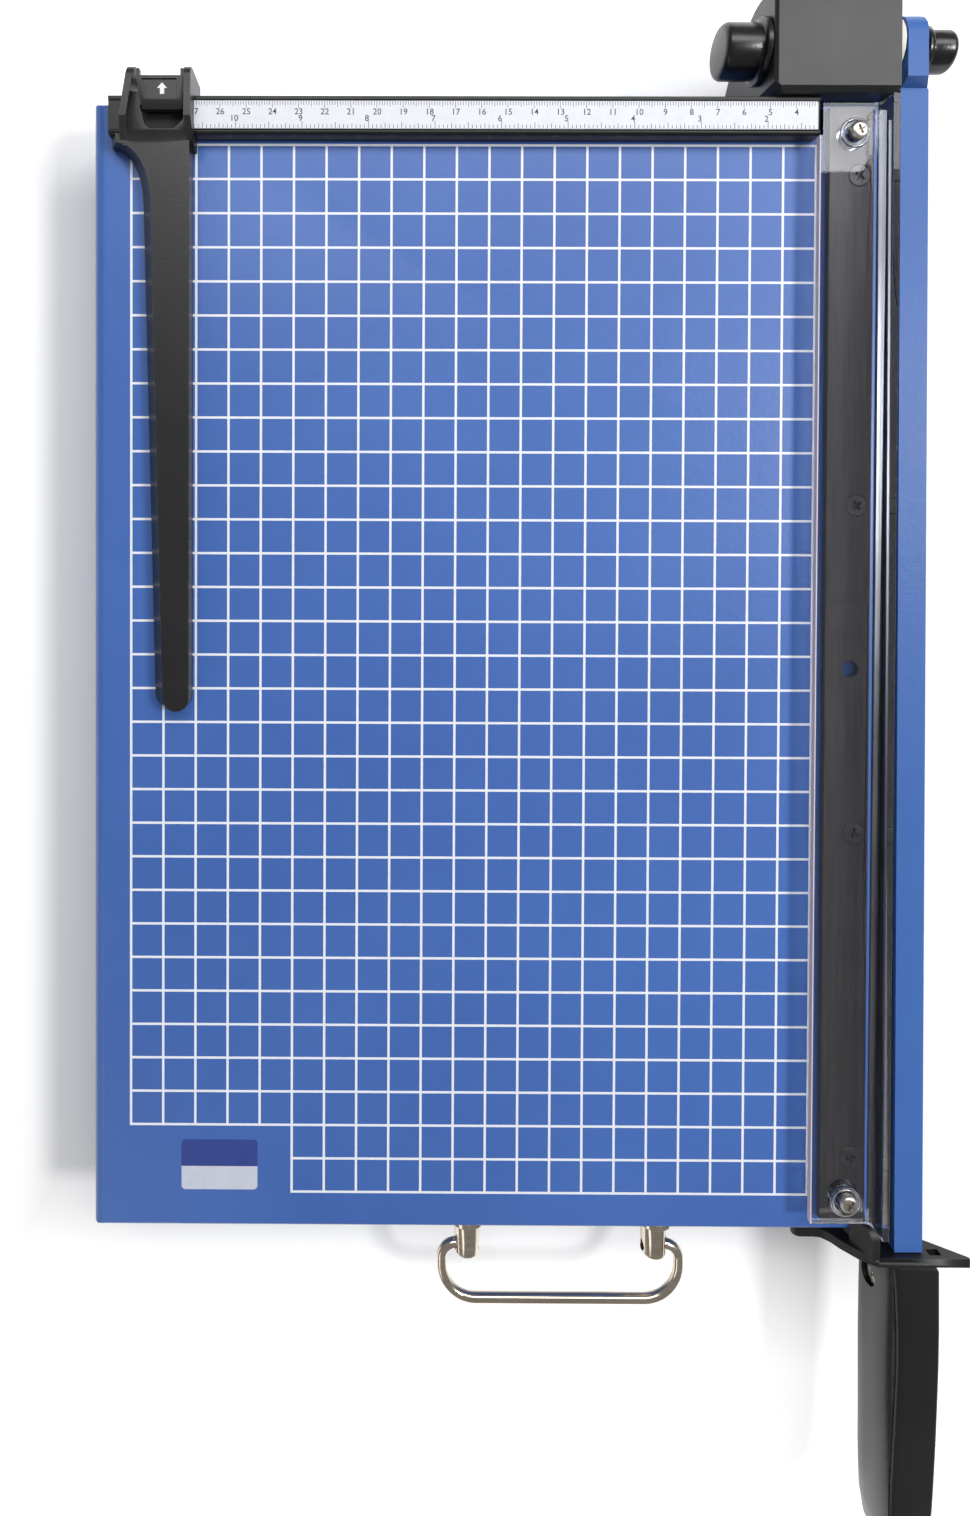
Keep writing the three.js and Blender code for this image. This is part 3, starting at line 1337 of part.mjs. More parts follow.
function sideGuide() {
  const bridgeLow = railTop + SEAT;
  const front = railFront - CHEEK_FRONT;
  const leverTop = BED_HEIGHT + GUIDE_HEIGHT;
  const deck = alongX(
    [
      point(front, BED_HEIGHT + SEAT),
      point(railFront - SEAT, BED_HEIGHT + SEAT),
      point(railFront - SEAT, bridgeLow),
      point(BED_LENGTH, bridgeLow),
      point(BED_LENGTH, deckTop),
      point(railFront, deckTop),
      point(railFront - BRIDGE_SLOPE, leverTop),
      point(front, leverTop),
    ],
    guideLeft,
    guideEdge,
  );
  const backRear = BED_LENGTH + CHEEK_REAR;
  const back = block(
    guideLeft,
    guideEdge,
    backRear - BACK_THICKNESS,
    backRear,
    BED_HEIGHT - CHEEK_LOW,
    BED_HEIGHT + BACK_TOP,
  );
  const between = join(deck, back).intersect(guideSpan(CHEEK_THICKNESS / 2, GUIDE_WIDTH));
  const leftCheek = guideCheek(guideLeft, guideEdge).intersect(guideSpan(0, CHEEK_THICKNESS));
  const rightCheek = guideCheek(cheekLeft, cheekLeft + CHEEK_THICKNESS);
  return cut(join(guideLever(), between, leftCheek, rightCheek), guideWell());
}

// A slanting slab along the left cheek, between two distances from its outer face
function guideSpan(from, to) {
  const front = railFront - CHEEK_FRONT;
  const rear = BED_LENGTH + CHEEK_REAR;
  const left = guideLeft + CHEEK_INSET;
  return alongZ(
    [
      point(left + from, front),
      point(left + to, front),
      point(left + CHEEK_SPLAY + to, rear),
      point(left + CHEEK_SPLAY + from, rear),
    ],
    0,
    2 * BED_HEIGHT,
  );
}

function guideWell() {
  const right = guideEdge - WELL_RIGHT;
  const left = right - WELL_WIDTH;
  const front = railFront + WELL_FRONT;
  const rear = railFront + WELL_REACH;
  return alongZ(
    [
      point(left + WELL_CORNER, front),
      point(right - WELL_CORNER, front),
      point(right, front + WELL_CORNER),
      point(right, rear),
      point(left, rear),
      point(left + WELL_CORNER / 2, front + WELL_CORNER / 2),
    ],
    deckTop - WELL_DEPTH,
    deckTop + OVERRUN,
  );
}

function guideCheek(left, right) {
  const front = railFront - CHEEK_FRONT;
  const rear = BED_LENGTH + CHEEK_REAR;
  const top = BED_HEIGHT + CHEEK_TOP;
  const low = BED_HEIGHT - CHEEK_LOW;
  const over = railTop + SEAT;
  const outline = [
    point(front, BED_HEIGHT + SEAT),
    point(railFront - SEAT, BED_HEIGHT + SEAT),
    point(railFront - SEAT, over),
    point(BED_LENGTH + SEAT, over),
    point(BED_LENGTH + SEAT, low),
    point(rear, low),
    ...arc(rear - CHEEK_ROUND, top - CHEEK_ROUND, CHEEK_ROUND, 0, QUARTER),
    point(railFront + CHEEK_ROUND, top),
    point(front + CHEEK_ROUND / 2, BED_HEIGHT + GUIDE_HEIGHT),
    point(front, BED_HEIGHT + GUIDE_HEIGHT / 2),
  ];
  return alongX(outline, left, right);
}

// The release button: a thumb plate between the cheeks, and a hook that holds the rail's groove
const buttonRight = cheekLeft - SEAT;
const buttonLeft = buttonRight - BUTTON_WIDTH;
const hookFront = BED_LENGTH + SEAT;

function releaseButton() {
  const top = BED_HEIGHT + BUTTON_TOP;
  const low = top - BUTTON_THICKNESS;
  const rear = BED_LENGTH + BUTTON_REAR;
  const front = rear - BUTTON_DEPTH;
  const wedge = alongX(
    [
      point(front, low),
      point(rear, low),
      point(rear, top),
      point(front + BUTTON_SLOPE, top),
      point(front, top - BUTTON_LIP),
    ],
    buttonLeft,
    buttonRight,
  );
  const plate = wedge.intersect(alongZ(buttonPlan(front, rear, 0), low, top));
  const recessFront = front + BUTTON_SLOPE + BUTTON_LIP / 2;
  const recess = alongZ(
    buttonPlan(recessFront, rear - BUTTON_LIP, BUTTON_RIM),
    top - BUTTON_RECESS,
    top + OVERRUN,
  );
  const toothLow = BED_HEIGHT + RAIL_GROOVE_LOW + SEAT;
  const toothTop = toothLow + RAIL_GROOVE_HEIGHT - 2 * SEAT;
  const hook = alongX(
    [
      point(hookFront, BED_HEIGHT - CHEEK_LOW),
      point(hookFront + HOOK_THICKNESS, BED_HEIGHT - CHEEK_LOW),
      point(hookFront + HOOK_THICKNESS, low + BUTTON_LIP),
      point(hookFront, low + BUTTON_LIP),
      point(hookFront, toothTop),
      point(hookFront - HOOK_TOOTH, toothTop),
      point(hookFront - HOOK_TOOTH, toothLow),
      point(hookFront, toothLow),
    ],
    buttonLeft + BUTTON_RIM,
    buttonRight - BUTTON_RIM,
  );
  const prongs = [buttonLeft, buttonRight - BUTTON_PRONG_WIDTH].map((x) =>
    block(x, x + BUTTON_PRONG_WIDTH, rear - BUTTON_LIP, rear + BUTTON_PRONG, low, top - BUTTON_LIP),
  );
  return join(cut(plate, recess), hook, ...prongs);
}

// The thumb plate's outline, or one that lies a rim's width inside it
function buttonPlan(front, rear, rim) {
  return [
    point(buttonLeft + BUTTON_SLANT + rim, front),
    point(buttonRight - rim, front),
    point(buttonRight - rim, rear),
    point(buttonLeft + rim, rear),
  ];
}

function releaseSpring() {
  const front = hookFront + HOOK_THICKNESS + SEAT;
  const length = BED_LENGTH + CHEEK_REAR - BACK_THICKNESS - SEAT - front;
  const x = (buttonLeft + buttonRight) / 2;
  const z = BED_HEIGHT - RELEASE_SPRING_DROP;
  return coilSpring(
    'release_spring',
    RELEASE_SPRING_RADIUS,
    RELEASE_SPRING_WIRE,
    RELEASE_SPRING_TURNS,
    length,
    (geometry) => geometry.rotateX(-Math.PI / 2).translate(x, front, z),
  );
}

// The carry bail: one bent rod whose ends turn inwards into the posts
class BailCurve extends THREE.CurvePath {
  constructor() {
    super();
    const half = BAIL_WIDTH / 2;
    const end = POST_SPACING / 2;
    const corner = (x, y, radius, quarter) =>
      arc(x, y, radius, quarter * QUARTER, (quarter + 1) * QUARTER, 2 * CORNER_STEPS);
    const side = [
      point(-end, -BAIL_PIVOT),
      ...corner(-half + BAIL_ROOT_BEND, -BAIL_PIVOT - BAIL_ROOT_BEND, BAIL_ROOT_BEND, 1),
      ...corner(-half + BAIL_BEND, -BAIL_REACH + BAIL_BEND, BAIL_BEND, 2),
    ];
    const mirrored = side.map((p) => point(-p.x, p.y)).reverse();
    const route = [...side, ...mirrored].map((p) => new THREE.Vector3(p.x - BAIL_MIDDLE, p.y, bailZ));
    for (let i = 0; i + 1 < route.length; i++) this.add(new THREE.LineCurve3(route[i], route[i + 1]));
  }
}

function bailRod() {
  return tube(new BailCurve(), BAIL_ROD / 2, BAIL_SIDES, BAIL_STEPS);
}

function bailPost(x) {
  const inner = SHEET + SEAT;
  const profile = [
    point(0, -inner - RIVET_HEAD_HEIGHT),
    point(RIVET_HEAD_RADIUS / 2, -inner - RIVET_HEAD_HEIGHT),
    point(RIVET_HEAD_RADIUS, -inner - RIVET_HEAD_HEIGHT / 3),
    point(RIVET_HEAD_RADIUS, -inner),
    point(RIVET_RADIUS, -inner),
    point(RIVET_RADIUS, SEAT),
    point(POST_COLLAR_RADIUS, SEAT),
    point(POST_COLLAR_RADIUS, POST_COLLAR),
    point(POST_RADIUS, POST_COLLAR),
    ...arc(POST_RADIUS - POST_ROUND, POST_LENGTH - POST_ROUND, POST_ROUND, 0, QUARTER, CORNER_STEPS - 1),
    point(0, POST_LENGTH),
  ];
  const post = turnedForward(profile, x, 0, bailZ);
  const side = POST_RADIUS + OVERRUN;
  return cut(post, barX(x - side, x + side, -BAIL_PIVOT, bailZ, BAIL_ROD / 2 + SEAT));
}

// Assembly
place('base_shell', bedShell(), bluePaint);
for (const [corner, [x, y]] of Object.entries(footPlaces)) {
  place(`foot_${corner}`, foot(x, y), blackRubber);
}
place('ruler_rail', rulerRail(), blackMetal);
place('ruler_strip', rulerStrip(), whiteStrip);
railScrews.forEach((x, i) => place(`rail_screw_${i + 1}`, railScrew(x), zincSteel));
place('lower_blade', lowerBlade(), bladeSteel);
lowerScrews.forEach((y, i) => place(`lower_blade_screw_${i + 1}`, lowerBladeScrew(y), zincSteel));

place('clear_guard', clearGuard(), clearPlastic);
['front', 'rear'].forEach((end, i) => {
  place(`guard_screw_${end}`, guardScrew(guardScrews[i]), zincSteel);
  place(`guard_spacer_${end}`, guardSpacer(guardScrews[i]), clearPlastic);
});
place('clamp_bar', clampBar(), greyClamp);
clampScrews.forEach((y, i) => {
  place(`clamp_screw_${i + 1}`, clampScrew(y), zincSteel);
  place(`clamp_spring_${i + 1}`, clampSpring(`clamp_spring_${i + 1}`, y), zincSteel);
  place(`clamp_nut_${i + 1}`, clampNut(y), zincSteel);
});

place('pivot_hub', pivotHub(), blackPlastic);
hubScrews.forEach((x, i) => place(`hub_screw_${i + 1}`, hubScrew(x), zincSteel));
place('pivot_bolt', pivotBolt(), zincSteel);
place('friction_washer', frictionWasher(), whiteNylon);
place('spring_washer', springWasher(), bladeSteel);
place('pivot_nut', pivotNut(), zincSteel);
place('pivot_cap_left', leftCap(), blackPlastic);
place('pivot_cap_right', rightCap(), blackPlastic);

place('arm_bar', armBar(), bluePaint);
place('arm_bush', armBush(), bronze);
place('upper_blade', upperBlade(), bladeSteel);
bladeScrews.forEach((y, i) => place(`blade_screw_${i + 1}`, bladeScrew(y), zincSteel));
place('hand_guard', handGuard(), blackPlastic);
const grip = gripHalves();
place('grip_left', grip.left, blackPlastic);
place('grip_right', grip.right, blackPlastic);
handleScrews.forEach((y, i) => place(`handle_screw_${i + 1}`, handleScrew(y), zincSteel));

place('side_guide', sideGuide(), blackPlastic);
place('release_button', releaseButton(), blackPlastic);
place('release_spring', releaseSpring(), zincSteel);
place('bail_rod', bailRod(), nickel);
['left', 'right'].forEach((side, i) => place(`bail_post_${side}`, bailPost(bailPosts[i]), nickel));

// The origin goes to the middle of the footprint, on the table
const extent = new THREE.Box3().setFromObject(trimmer);
const centre = extent.getCenter(new THREE.Vector3());
trimmer.position.set(-centre.x, -centre.y, -extent.min.z);

export default trimmer;
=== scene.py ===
import math
import json

import bmesh
import bpy
from mathutils import Matrix, Vector


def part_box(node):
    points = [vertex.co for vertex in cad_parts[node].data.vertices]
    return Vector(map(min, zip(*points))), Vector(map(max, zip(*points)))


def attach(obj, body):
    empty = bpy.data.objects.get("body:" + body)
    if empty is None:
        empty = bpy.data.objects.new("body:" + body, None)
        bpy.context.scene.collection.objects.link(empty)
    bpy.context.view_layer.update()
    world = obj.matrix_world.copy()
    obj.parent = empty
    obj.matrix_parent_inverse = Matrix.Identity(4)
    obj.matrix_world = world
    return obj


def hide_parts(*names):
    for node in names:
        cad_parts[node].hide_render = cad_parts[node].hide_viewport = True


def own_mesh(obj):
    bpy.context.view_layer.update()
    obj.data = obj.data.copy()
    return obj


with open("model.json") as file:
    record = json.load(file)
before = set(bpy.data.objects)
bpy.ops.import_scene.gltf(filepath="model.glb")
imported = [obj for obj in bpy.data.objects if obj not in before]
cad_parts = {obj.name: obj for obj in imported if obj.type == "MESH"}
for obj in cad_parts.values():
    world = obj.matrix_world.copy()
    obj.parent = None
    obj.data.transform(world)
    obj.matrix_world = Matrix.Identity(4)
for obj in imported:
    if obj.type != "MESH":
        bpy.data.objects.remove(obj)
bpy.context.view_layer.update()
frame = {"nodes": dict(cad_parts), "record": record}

MM = 0.001
NODES = frame["nodes"]

# A guillotine paper trimmer, dressed round its CAD nodes. Lengths are in mm, but in metres in the
# materials, the modifiers, the floor and the lamps.

# The camera that took the photograph
PHOTO_HEIGHT = 1516  # pixels, the frame's longer side
FOCAL_PIXELS = 900
SENSOR = 36  # mm
SHIFT_X, SHIFT_Y = 0.08, -0.16206
CLIP = (0.01, 20)  # m
CAMERA_PLACE = (-62.9, 110.28, 391.5)
CAMERA_LEAN = (-0.0036, -0.01147, -1.0)  # the way it looks: down, a touch towards the front
CAMERA_UP = (-0.0033, 1.0, 0.0)

# Heights and places on the object
BED_TOP = 39.0
GUARD_TOP = 47.0
WELL_FLOOR = 47.0
FRONT_WALL = -176.5
CUT_PLANE = 140.4  # in x, where the rulers count from
INCH = 25.4

# Print on a surface: how far it sinks in, and how far ink and a sticker stand out
SUNK = 0.02
INK = 0.03
STICKER = 0.12


def make_camera():
    """The photograph's view, with a shift for the part of the picture that it keeps."""
    data = bpy.data.cameras.new("camera")
    data.sensor_width = SENSOR
    data.lens = SENSOR * FOCAL_PIXELS / PHOTO_HEIGHT
    data.shift_x, data.shift_y = SHIFT_X, SHIFT_Y
    data.clip_start, data.clip_end = CLIP
    camera = bpy.data.objects.new("camera", data)
    bpy.context.collection.objects.link(camera)
    ahead = Vector(CAMERA_LEAN).normalized()
    up = Vector(CAMERA_UP)
    up = (up - up.dot(ahead) * ahead).normalized()
    turn = Matrix((ahead.cross(up), up, -ahead)).transposed().to_4x4()
    camera.matrix_world = Matrix.Translation(Vector(CAMERA_PLACE) * MM) @ turn
    bpy.context.scene.camera = camera


# Materials


class Nodes:
    """Short calls for a material's node tree."""

    def __init__(self, name):
        self.material = bpy.data.materials.new(name)
        self.material.use_nodes = True
        self.tree = self.material.node_tree
        self.tree.nodes.clear()
        self.shader = self.add("ShaderNodeBsdfPrincipled")
        output = self.add("ShaderNodeOutputMaterial")
        self.link(self.shader.outputs[0], output.inputs["Surface"])
        self.place = self.add("ShaderNodeTexCoord").outputs["Object"]

    def add(self, kind, **fields):
        node = self.tree.nodes.new(kind)
        for key, value in fields.items():
            setattr(node, key, value)
        return node

    def link(self, a, b):
        self.tree.links.new(a, b)

    def put(self, socket, value):
        """Links a socket, or sets its value. A colour of three numbers gets an alpha of 1."""
        if isinstance(value, bpy.types.NodeSocket):
            self.link(value, socket)
        elif socket.type == "RGBA":
            socket.default_value = (*value[:3], 1)
        else:
            socket.default_value = value

    def set(self, node, **values):
        for key, value in values.items():
            self.put(node.inputs[key.replace("_", " ")], value)

    def noise(self, scale, detail=3.0, rough=0.5, stretch=None):
        """Noise with as many cells to the metre as the scale says."""
        place = self.place
        if stretch:
            mapping = self.add("ShaderNodeMapping")
            self.set(mapping, Vector=place, Scale=stretch)
            place = mapping.outputs[0]
        node = self.add("ShaderNodeTexNoise")
        self.set(node, Vector=place, Scale=scale, Detail=detail, Roughness=rough)
        return node.outputs["Fac"]

    def tones(self, value, low, high, start=0.3, end=0.7):
        """A colour between two linear ones, as a value goes from start to end."""
        node = self.add("ShaderNodeValToRGB")
        for element, position, color in zip(node.color_ramp.elements, (start, end), (low, high)):
            element.position = position
            element.color = (*color, 1)
        self.link(value, node.inputs["Fac"])
        return node.outputs["Color"]

    def between(self, value, low, high, start=0.0, end=1.0):
        """Low to high, as a value goes from start to end."""
        node = self.add("ShaderNodeMapRange")
        self.set(node, Value=value, From_Min=start, From_Max=end, To_Min=low, To_Max=high)
        return node.outputs[0]

    def math(self, kind, a, b):
        node = self.add("ShaderNodeMath", operation=kind)
        self.put(node.inputs[0], a)
        self.put(node.inputs[1], b)
        return node.outputs[0]

    def mix(self, factor, a, b):
        """Two colours mixed. A Mix node's colours are its sockets 6 and 7, and the result is 2."""
        node = self.add("ShaderNodeMix", data_type="RGBA")
        for socket, value in ((0, factor), (6, a), (7, b)):
            self.put(node.inputs[socket], value)
        return node.outputs[2]

    def bump(self, height, strength, distance):
        """Relief for the shader, from a height and the distance that it stands for."""
        node = self.add("ShaderNodeBump")
        self.set(node, Height=height, Strength=strength, Distance=distance)
        self.link(node.outputs[0], self.shader.inputs["Normal"])

    def edges(self, radius):
        """How sharp the surface bends, from how far its rounded normal leans."""
        sharp, flat = 0.86, 0.995  # the two normals' dot product
        bevel = self.add("ShaderNodeBevel", samples=4)
        self.set(bevel, Radius=radius)
        geometry = self.add("ShaderNodeNewGeometry")
        dot = self.add("ShaderNodeVectorMath", operation="DOT_PRODUCT")
        self.link(bevel.outputs[0], dot.inputs[0])
        self.link(geometry.outputs["Normal"], dot.inputs[1])
        return self.between(dot.outputs["Value"], 1.0, 0.0, sharp, flat)

    def wear(self, radius, scale, detail, start, end, share):
        """Patchy pale marks along the edges, up to a share of full: partly rubbed and dusty spots, and partly
        a painted highlight where the edges would catch the light.
        """
        patches = self.between(self.noise(scale, detail, 0.7), 0, 1, start, end)
        return self.math("MULTIPLY", self.math("MULTIPLY", self.edges(radius), patches), share)


def srgb(red, green, blue):
    """Linear colour from the 0 to 255 values a picture shows."""
    def linear(value):
        value /= 255
        return value / 12.92 if value <= 0.04045 else ((value + 0.055) / 1.055) ** 2.4
    return (linear(red), linear(green), linear(blue))


def blue_paint(name="blue_paint", low=(63, 101, 175), high=(71, 111, 185), gloss=0.4, coat=0.12):
    """Powder coat with a fine grain, pale in places along its edges: partly rubbed paint and partly a painted
    highlight.
    """
    m = Nodes(name)
    base = m.tones(m.noise(9, 4, 0.55), srgb(*low), srgb(*high))
    rubbed_and_lit = m.wear(0.0009, scale=90, detail=5, start=0.45, end=0.7, share=0.35)
    # The pale blue along the edges is partly rubbed paint and partly a painted highlight.
    m.set(m.shader, Base_Color=m.mix(rubbed_and_lit, base, srgb(150, 170, 205)), Specular_IOR_Level=gloss,
          Roughness=m.between(m.noise(35, 4, 0.6), 0.34, 0.44), Coat_Weight=coat, Coat_Roughness=0.2)
    grain = m.math("ADD", m.noise(1400, 2), m.math("MULTIPLY", m.noise(260, 2), 1.4))
    m.bump(grain, 0.12, 0.0004)
    return m.material


def black_plastic(name="black_plastic", low=(24, 24, 26), high=(34, 34, 36), rough=(0.3, 0.42), grain=1300):
    """Moulded plastic with a spark-eroded grain and pale edges, partly dusty and partly a painted highlight.
    """
    m = Nodes(name)
    base = m.tones(m.noise(24, 4, 0.6), srgb(*low), srgb(*high))
    dust_and_highlight = m.wear(0.0008, scale=120, detail=4, start=0.4, end=0.7, share=0.3)
    # The pale grey along the edges is partly a dusty film and partly a painted highlight.
    m.set(m.shader, Base_Color=m.mix(dust_and_highlight, base, srgb(108, 108, 112)),
          Roughness=m.between(m.noise(55, 4, 0.6), *rough))
    cell = m.add("ShaderNodeTexVoronoi")
    m.set(cell, Vector=m.place, Scale=grain)
    m.bump(m.math("ADD", cell.outputs["Distance"], m.noise(grain * 2, 2)), 0.08, 0.0003)
    return m.material


def metal(name, low, high, rough=(0.25, 0.4), stretch=(1, 1, 1), grain=500, strength=0.08, metallic=1.0):
    """Metal with a grain that the stretch draws out one way."""
    m = Nodes(name)
    brushed = m.noise(grain, 3, 0.6, stretch)
    m.set(m.shader, Base_Color=m.tones(brushed, srgb(*low), srgb(*high), 0.25, 0.75), Metallic=metallic,
          Roughness=m.between(m.noise(60, 4, 0.6), *rough))
    m.bump(brushed, strength, 0.0002)
    return m.material


def clear_plastic():
    """Clear sheet whose sawn left edge is rough and pale."""
    m = Nodes("clear_plastic")
    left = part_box("clear_guard")[0][0]
    sawn_to, clear_from = left + 0.0003, left + 0.0005
    across = m.add("ShaderNodeSeparateXYZ")
    m.link(m.place, across.inputs[0])
    sawn = m.between(across.outputs["X"], 1, 0, sawn_to, clear_from)
    polish = m.between(m.noise(40, 4, 0.6), 0.0, 0.015)
    m.set(m.shader, Base_Color=m.mix(sawn, (0.93, 0.95, 1.0), srgb(244, 226, 230)), IOR=1.42,
          Transmission_Weight=m.between(sawn, 1.0, 0.15),
          Roughness=m.math("ADD", polish, m.math("MULTIPLY", sawn, 0.4)))
    m.bump(m.noise(60, 3), 0.012, 0.0006)
    return m.material


def rubber():
    m = Nodes("rubber")
    base = m.tones(m.noise(60, 5, 0.6), srgb(24, 24, 25), srgb(38, 38, 39))
    m.set(m.shader, Base_Color=base, Roughness=m.between(m.noise(80, 3), 0.7, 0.85))
    m.bump(m.noise(1500, 3), 0.2, 0.0003)
    return m.material


def printed(name, color, rough=0.45):
    """Ink, a sticker or plain pale plastic, a little uneven in tone and gloss."""
    m = Nodes(name)
    shade, spread = 0.93, 0.06
    darker = tuple(channel * shade for channel in color)
    m.set(m.shader, Base_Color=m.tones(m.noise(240, 4, 0.6), darker, color, 0.25, 0.6),
          Roughness=m.between(m.noise(120, 3), rough - spread, rough + spread))
    m.bump(m.noise(900, 2), 0.05, 0.0001)
    return m.material


LOOKS = {
    "blue_paint": blue_paint(),
    "blue_arm": blue_paint("blue_arm", (58, 98, 168), (66, 108, 178), gloss=0.28, coat=0.0),
    "black_plastic": black_plastic(),
    "black_gloss": black_plastic("black_gloss", (18, 18, 20), (27, 27, 29), (0.2, 0.3), 1400),
    "black_satin": black_plastic("black_satin", (13, 13, 15), (22, 22, 24), (0.38, 0.5), 1100),
    # Near-black for the painted shade on the floor of the button's well.
    "black_liner": black_plastic("black_liner", (5, 5, 6), (10, 10, 11), (0.6, 0.75), 900),
    "black_metal": metal("black_metal", (22, 22, 24), (38, 38, 41), (0.3, 0.42),
                         stretch=(0.02, 1, 1), grain=900, strength=0.06, metallic=0.35),
    "clamp_grey": metal("clamp_grey", (74, 70, 69), (92, 87, 86), (0.32, 0.45),
                        stretch=(1, 0.05, 1), grain=700, strength=0.06, metallic=0.55),
    "blade_steel": metal("blade_steel", (88, 90, 94), (122, 124, 128), (0.28, 0.4),
                         stretch=(1, 0.03, 1), grain=900),
    "zinc_steel": metal("zinc_steel", (188, 182, 172), (214, 208, 198), (0.25, 0.38),
                        grain=300, strength=0.05),
    "dark_zinc": metal("dark_zinc", (84, 82, 80), (110, 108, 105), (0.3, 0.42),
                       grain=400, strength=0.05, metallic=0.8),
    "nickel": metal("nickel", (204, 190, 170), (232, 220, 204), (0.1, 0.2),
                    stretch=(0.1, 1, 1), grain=400, strength=0.03),
    "bronze": metal("bronze", (150, 108, 58), (176, 132, 78), (0.35, 0.5)),
    "white_nylon": printed("white_nylon", srgb(226, 223, 214), 0.5),
    "rubber": rubber(),
    "clear_plastic": clear_plastic(),
    "scale_strip": printed("scale_strip", srgb(226, 228, 236)),
    "print_white": printed("print_white", srgb(238, 240, 248)),
    "print_ink": printed("print_ink", srgb(44, 48, 72)),
    "label_navy": printed("label_navy", srgb(52, 70, 142), 0.3),
    "label_silver": printed("label_silver", srgb(204, 207, 222), 0.3),
}

# Nodes whose finish differs from the rest of their slot
NODE_LOOKS = {"arm_bar": "blue_arm", "hand_guard": "black_satin"}


def soft_shading(sharp_angle=33):
    """A node group that shades gentle bends smooth and keeps sharp edges sharp."""
    group = bpy.data.node_groups.new("soft_shading", "GeometryNodeTree")
    group.interface.new_socket("Geometry", in_out="INPUT", socket_type="NodeSocketGeometry")
    group.interface.new_socket("Geometry", in_out="OUTPUT", socket_type="NodeSocketGeometry")
    start, end = group.nodes.new("NodeGroupInput"), group.nodes.new("NodeGroupOutput")
    faces = group.nodes.new("GeometryNodeSetShadeSmooth")
    faces.domain = "FACE"
    edges = group.nodes.new("GeometryNodeSetShadeSmooth")
    edges.domain = "EDGE"
    edges.inputs["Shade Smooth"].default_value = False
    angle = group.nodes.new("GeometryNodeInputMeshEdgeAngle")
    sharp = group.nodes.new("FunctionNodeCompare")
    sharp.data_type, sharp.operation = "FLOAT", "GREATER_THAN"
    sharp.inputs["B"].default_value = math.radians(sharp_angle)
    link = group.links.new
    link(start.outputs[0], faces.inputs["Geometry"])
    link(faces.outputs[0], edges.inputs["Geometry"])
    link(angle.outputs[0], sharp.inputs["A"])
    link(sharp.outputs[0], edges.inputs["Selection"])
    link(edges.outputs[0], end.inputs[0])
    return group


def dress_nodes(weld_distance=0.00002, bevel_width=0.00035, bevel_angle=32):
    """Gives every CAD node its look and soft edges."""
    soft = soft_shading()
    for part in frame["record"]["subparts"]:
        node = NODES[part["node"]]
        node.data.materials.clear()
        node.data.materials.append(LOOKS[NODE_LOOKS.get(part["node"], part["material_slot"])])
        weld = node.modifiers.new("weld", "WELD")
        weld.merge_threshold = weld_distance
        node.modifiers.new("soft", "NODES").node_group = soft
        bevel = node.modifiers.new("bevel", "BEVEL")
        bevel.width = bevel_width
        bevel.segments = 2
        bevel.limit_method = "ANGLE"
        bevel.angle_limit = math.radians(bevel_angle)
        bevel.use_clamp_overlap = True
        bevel.harden_normals = True


# Making pieces


def node_box(node):
    """A CAD node's lowest and highest corners."""
    low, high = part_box(node)
    return Vector(low) / MM, Vector(high) / MM


def add_piece(name, mesh, look, body, stands_for=()):
    """Links a mesh as a piece of the object. The look is a name, or a list of names by index."""
    mesh.transform(Matrix.Scale(MM, 4))
    while mesh.materials:  # clear() would set every face's material index to 0 as well
        mesh.materials.pop()
    for each in look if isinstance(look, list) else [look]:
        mesh.materials.append(LOOKS[each])
    piece = bpy.data.objects.new(name, mesh)
    bpy.context.collection.objects.link(piece)
    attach(piece, body)
    if stands_for:
        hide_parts(*stands_for)
    return piece


def mesh_of(name, build):
    """A mesh from a function that fills a bmesh."""
    bm = bmesh.new()
    build(bm)
    mesh = bpy.data.meshes.new(name)
    bm.to_mesh(mesh)
    bm.free()
    return mesh


def slab(bm, x0, x1, y0, y1, z0, z1):
    """A plain box between two corners."""
    corners = [bm.verts.new((x, y, z)) for z in (z0, z1) for x, y in ((x0, y0), (x1, y0), (x1, y1), (x0, y1))]
    for face in ((3, 2, 1, 0), (4, 5, 6, 7), (0, 1, 5, 4), (1, 2, 6, 5), (2, 3, 7, 6), (3, 0, 4, 7)):
        bm.faces.new([corners[i] for i in face])


def prism(bm, outline, z0, z1, index=0):
    """A flat shape with an outline that runs anticlockwise, pulled from z0 to z1."""
    low = [bm.verts.new((x, y, z0)) for x, y in outline]
    high = [bm.verts.new((x, y, z1)) for x, y in outline]
    faces = [bm.faces.new(low[::-1]), bm.faces.new(high)]
    for i in range(len(outline)):
        j = (i + 1) % len(outline)
        faces.append(bm.faces.new((low[i], low[j], high[j], high[i])))
    for face in faces:
        face.material_index = index


def arc(x, y, radius, start, steps, turn=90):
    """Points of part of a circle, anticlockwise from a start angle, a quarter of it by default."""
    angles = [math.radians(start + turn * k / steps) for k in range(steps + 1)]
    return [(x + radius * math.cos(a), y + radius * math.sin(a)) for a in angles]


def lathe(bm, profile, segments=48, turn=None):
    """Turns a profile of (radius, height) about +Z. The matrix then puts it in place."""
    turn = turn or Matrix.Identity(4)
    rings = []
    for radius, height in profile:
        if radius == 0:
            rings.append([bm.verts.new(turn @ Vector((0, 0, height)))])
            continue
        angles = [2 * math.pi * k / segments for k in range(segments)]
        circle = [Vector((radius * math.cos(a), radius * math.sin(a), height)) for a in angles]
        rings.append([bm.verts.new(turn @ point) for point in circle])
    for lower, upper in zip(rings, rings[1:]):
        for k in range(segments):
            n = (k + 1) % segments
            face = []
            for ring, i in ((lower, k), (lower, n), (upper, n), (upper, k)):
                vert = ring[i % len(ring)]
                if vert not in face:
                    face.append(vert)
            bm.faces.new(face)


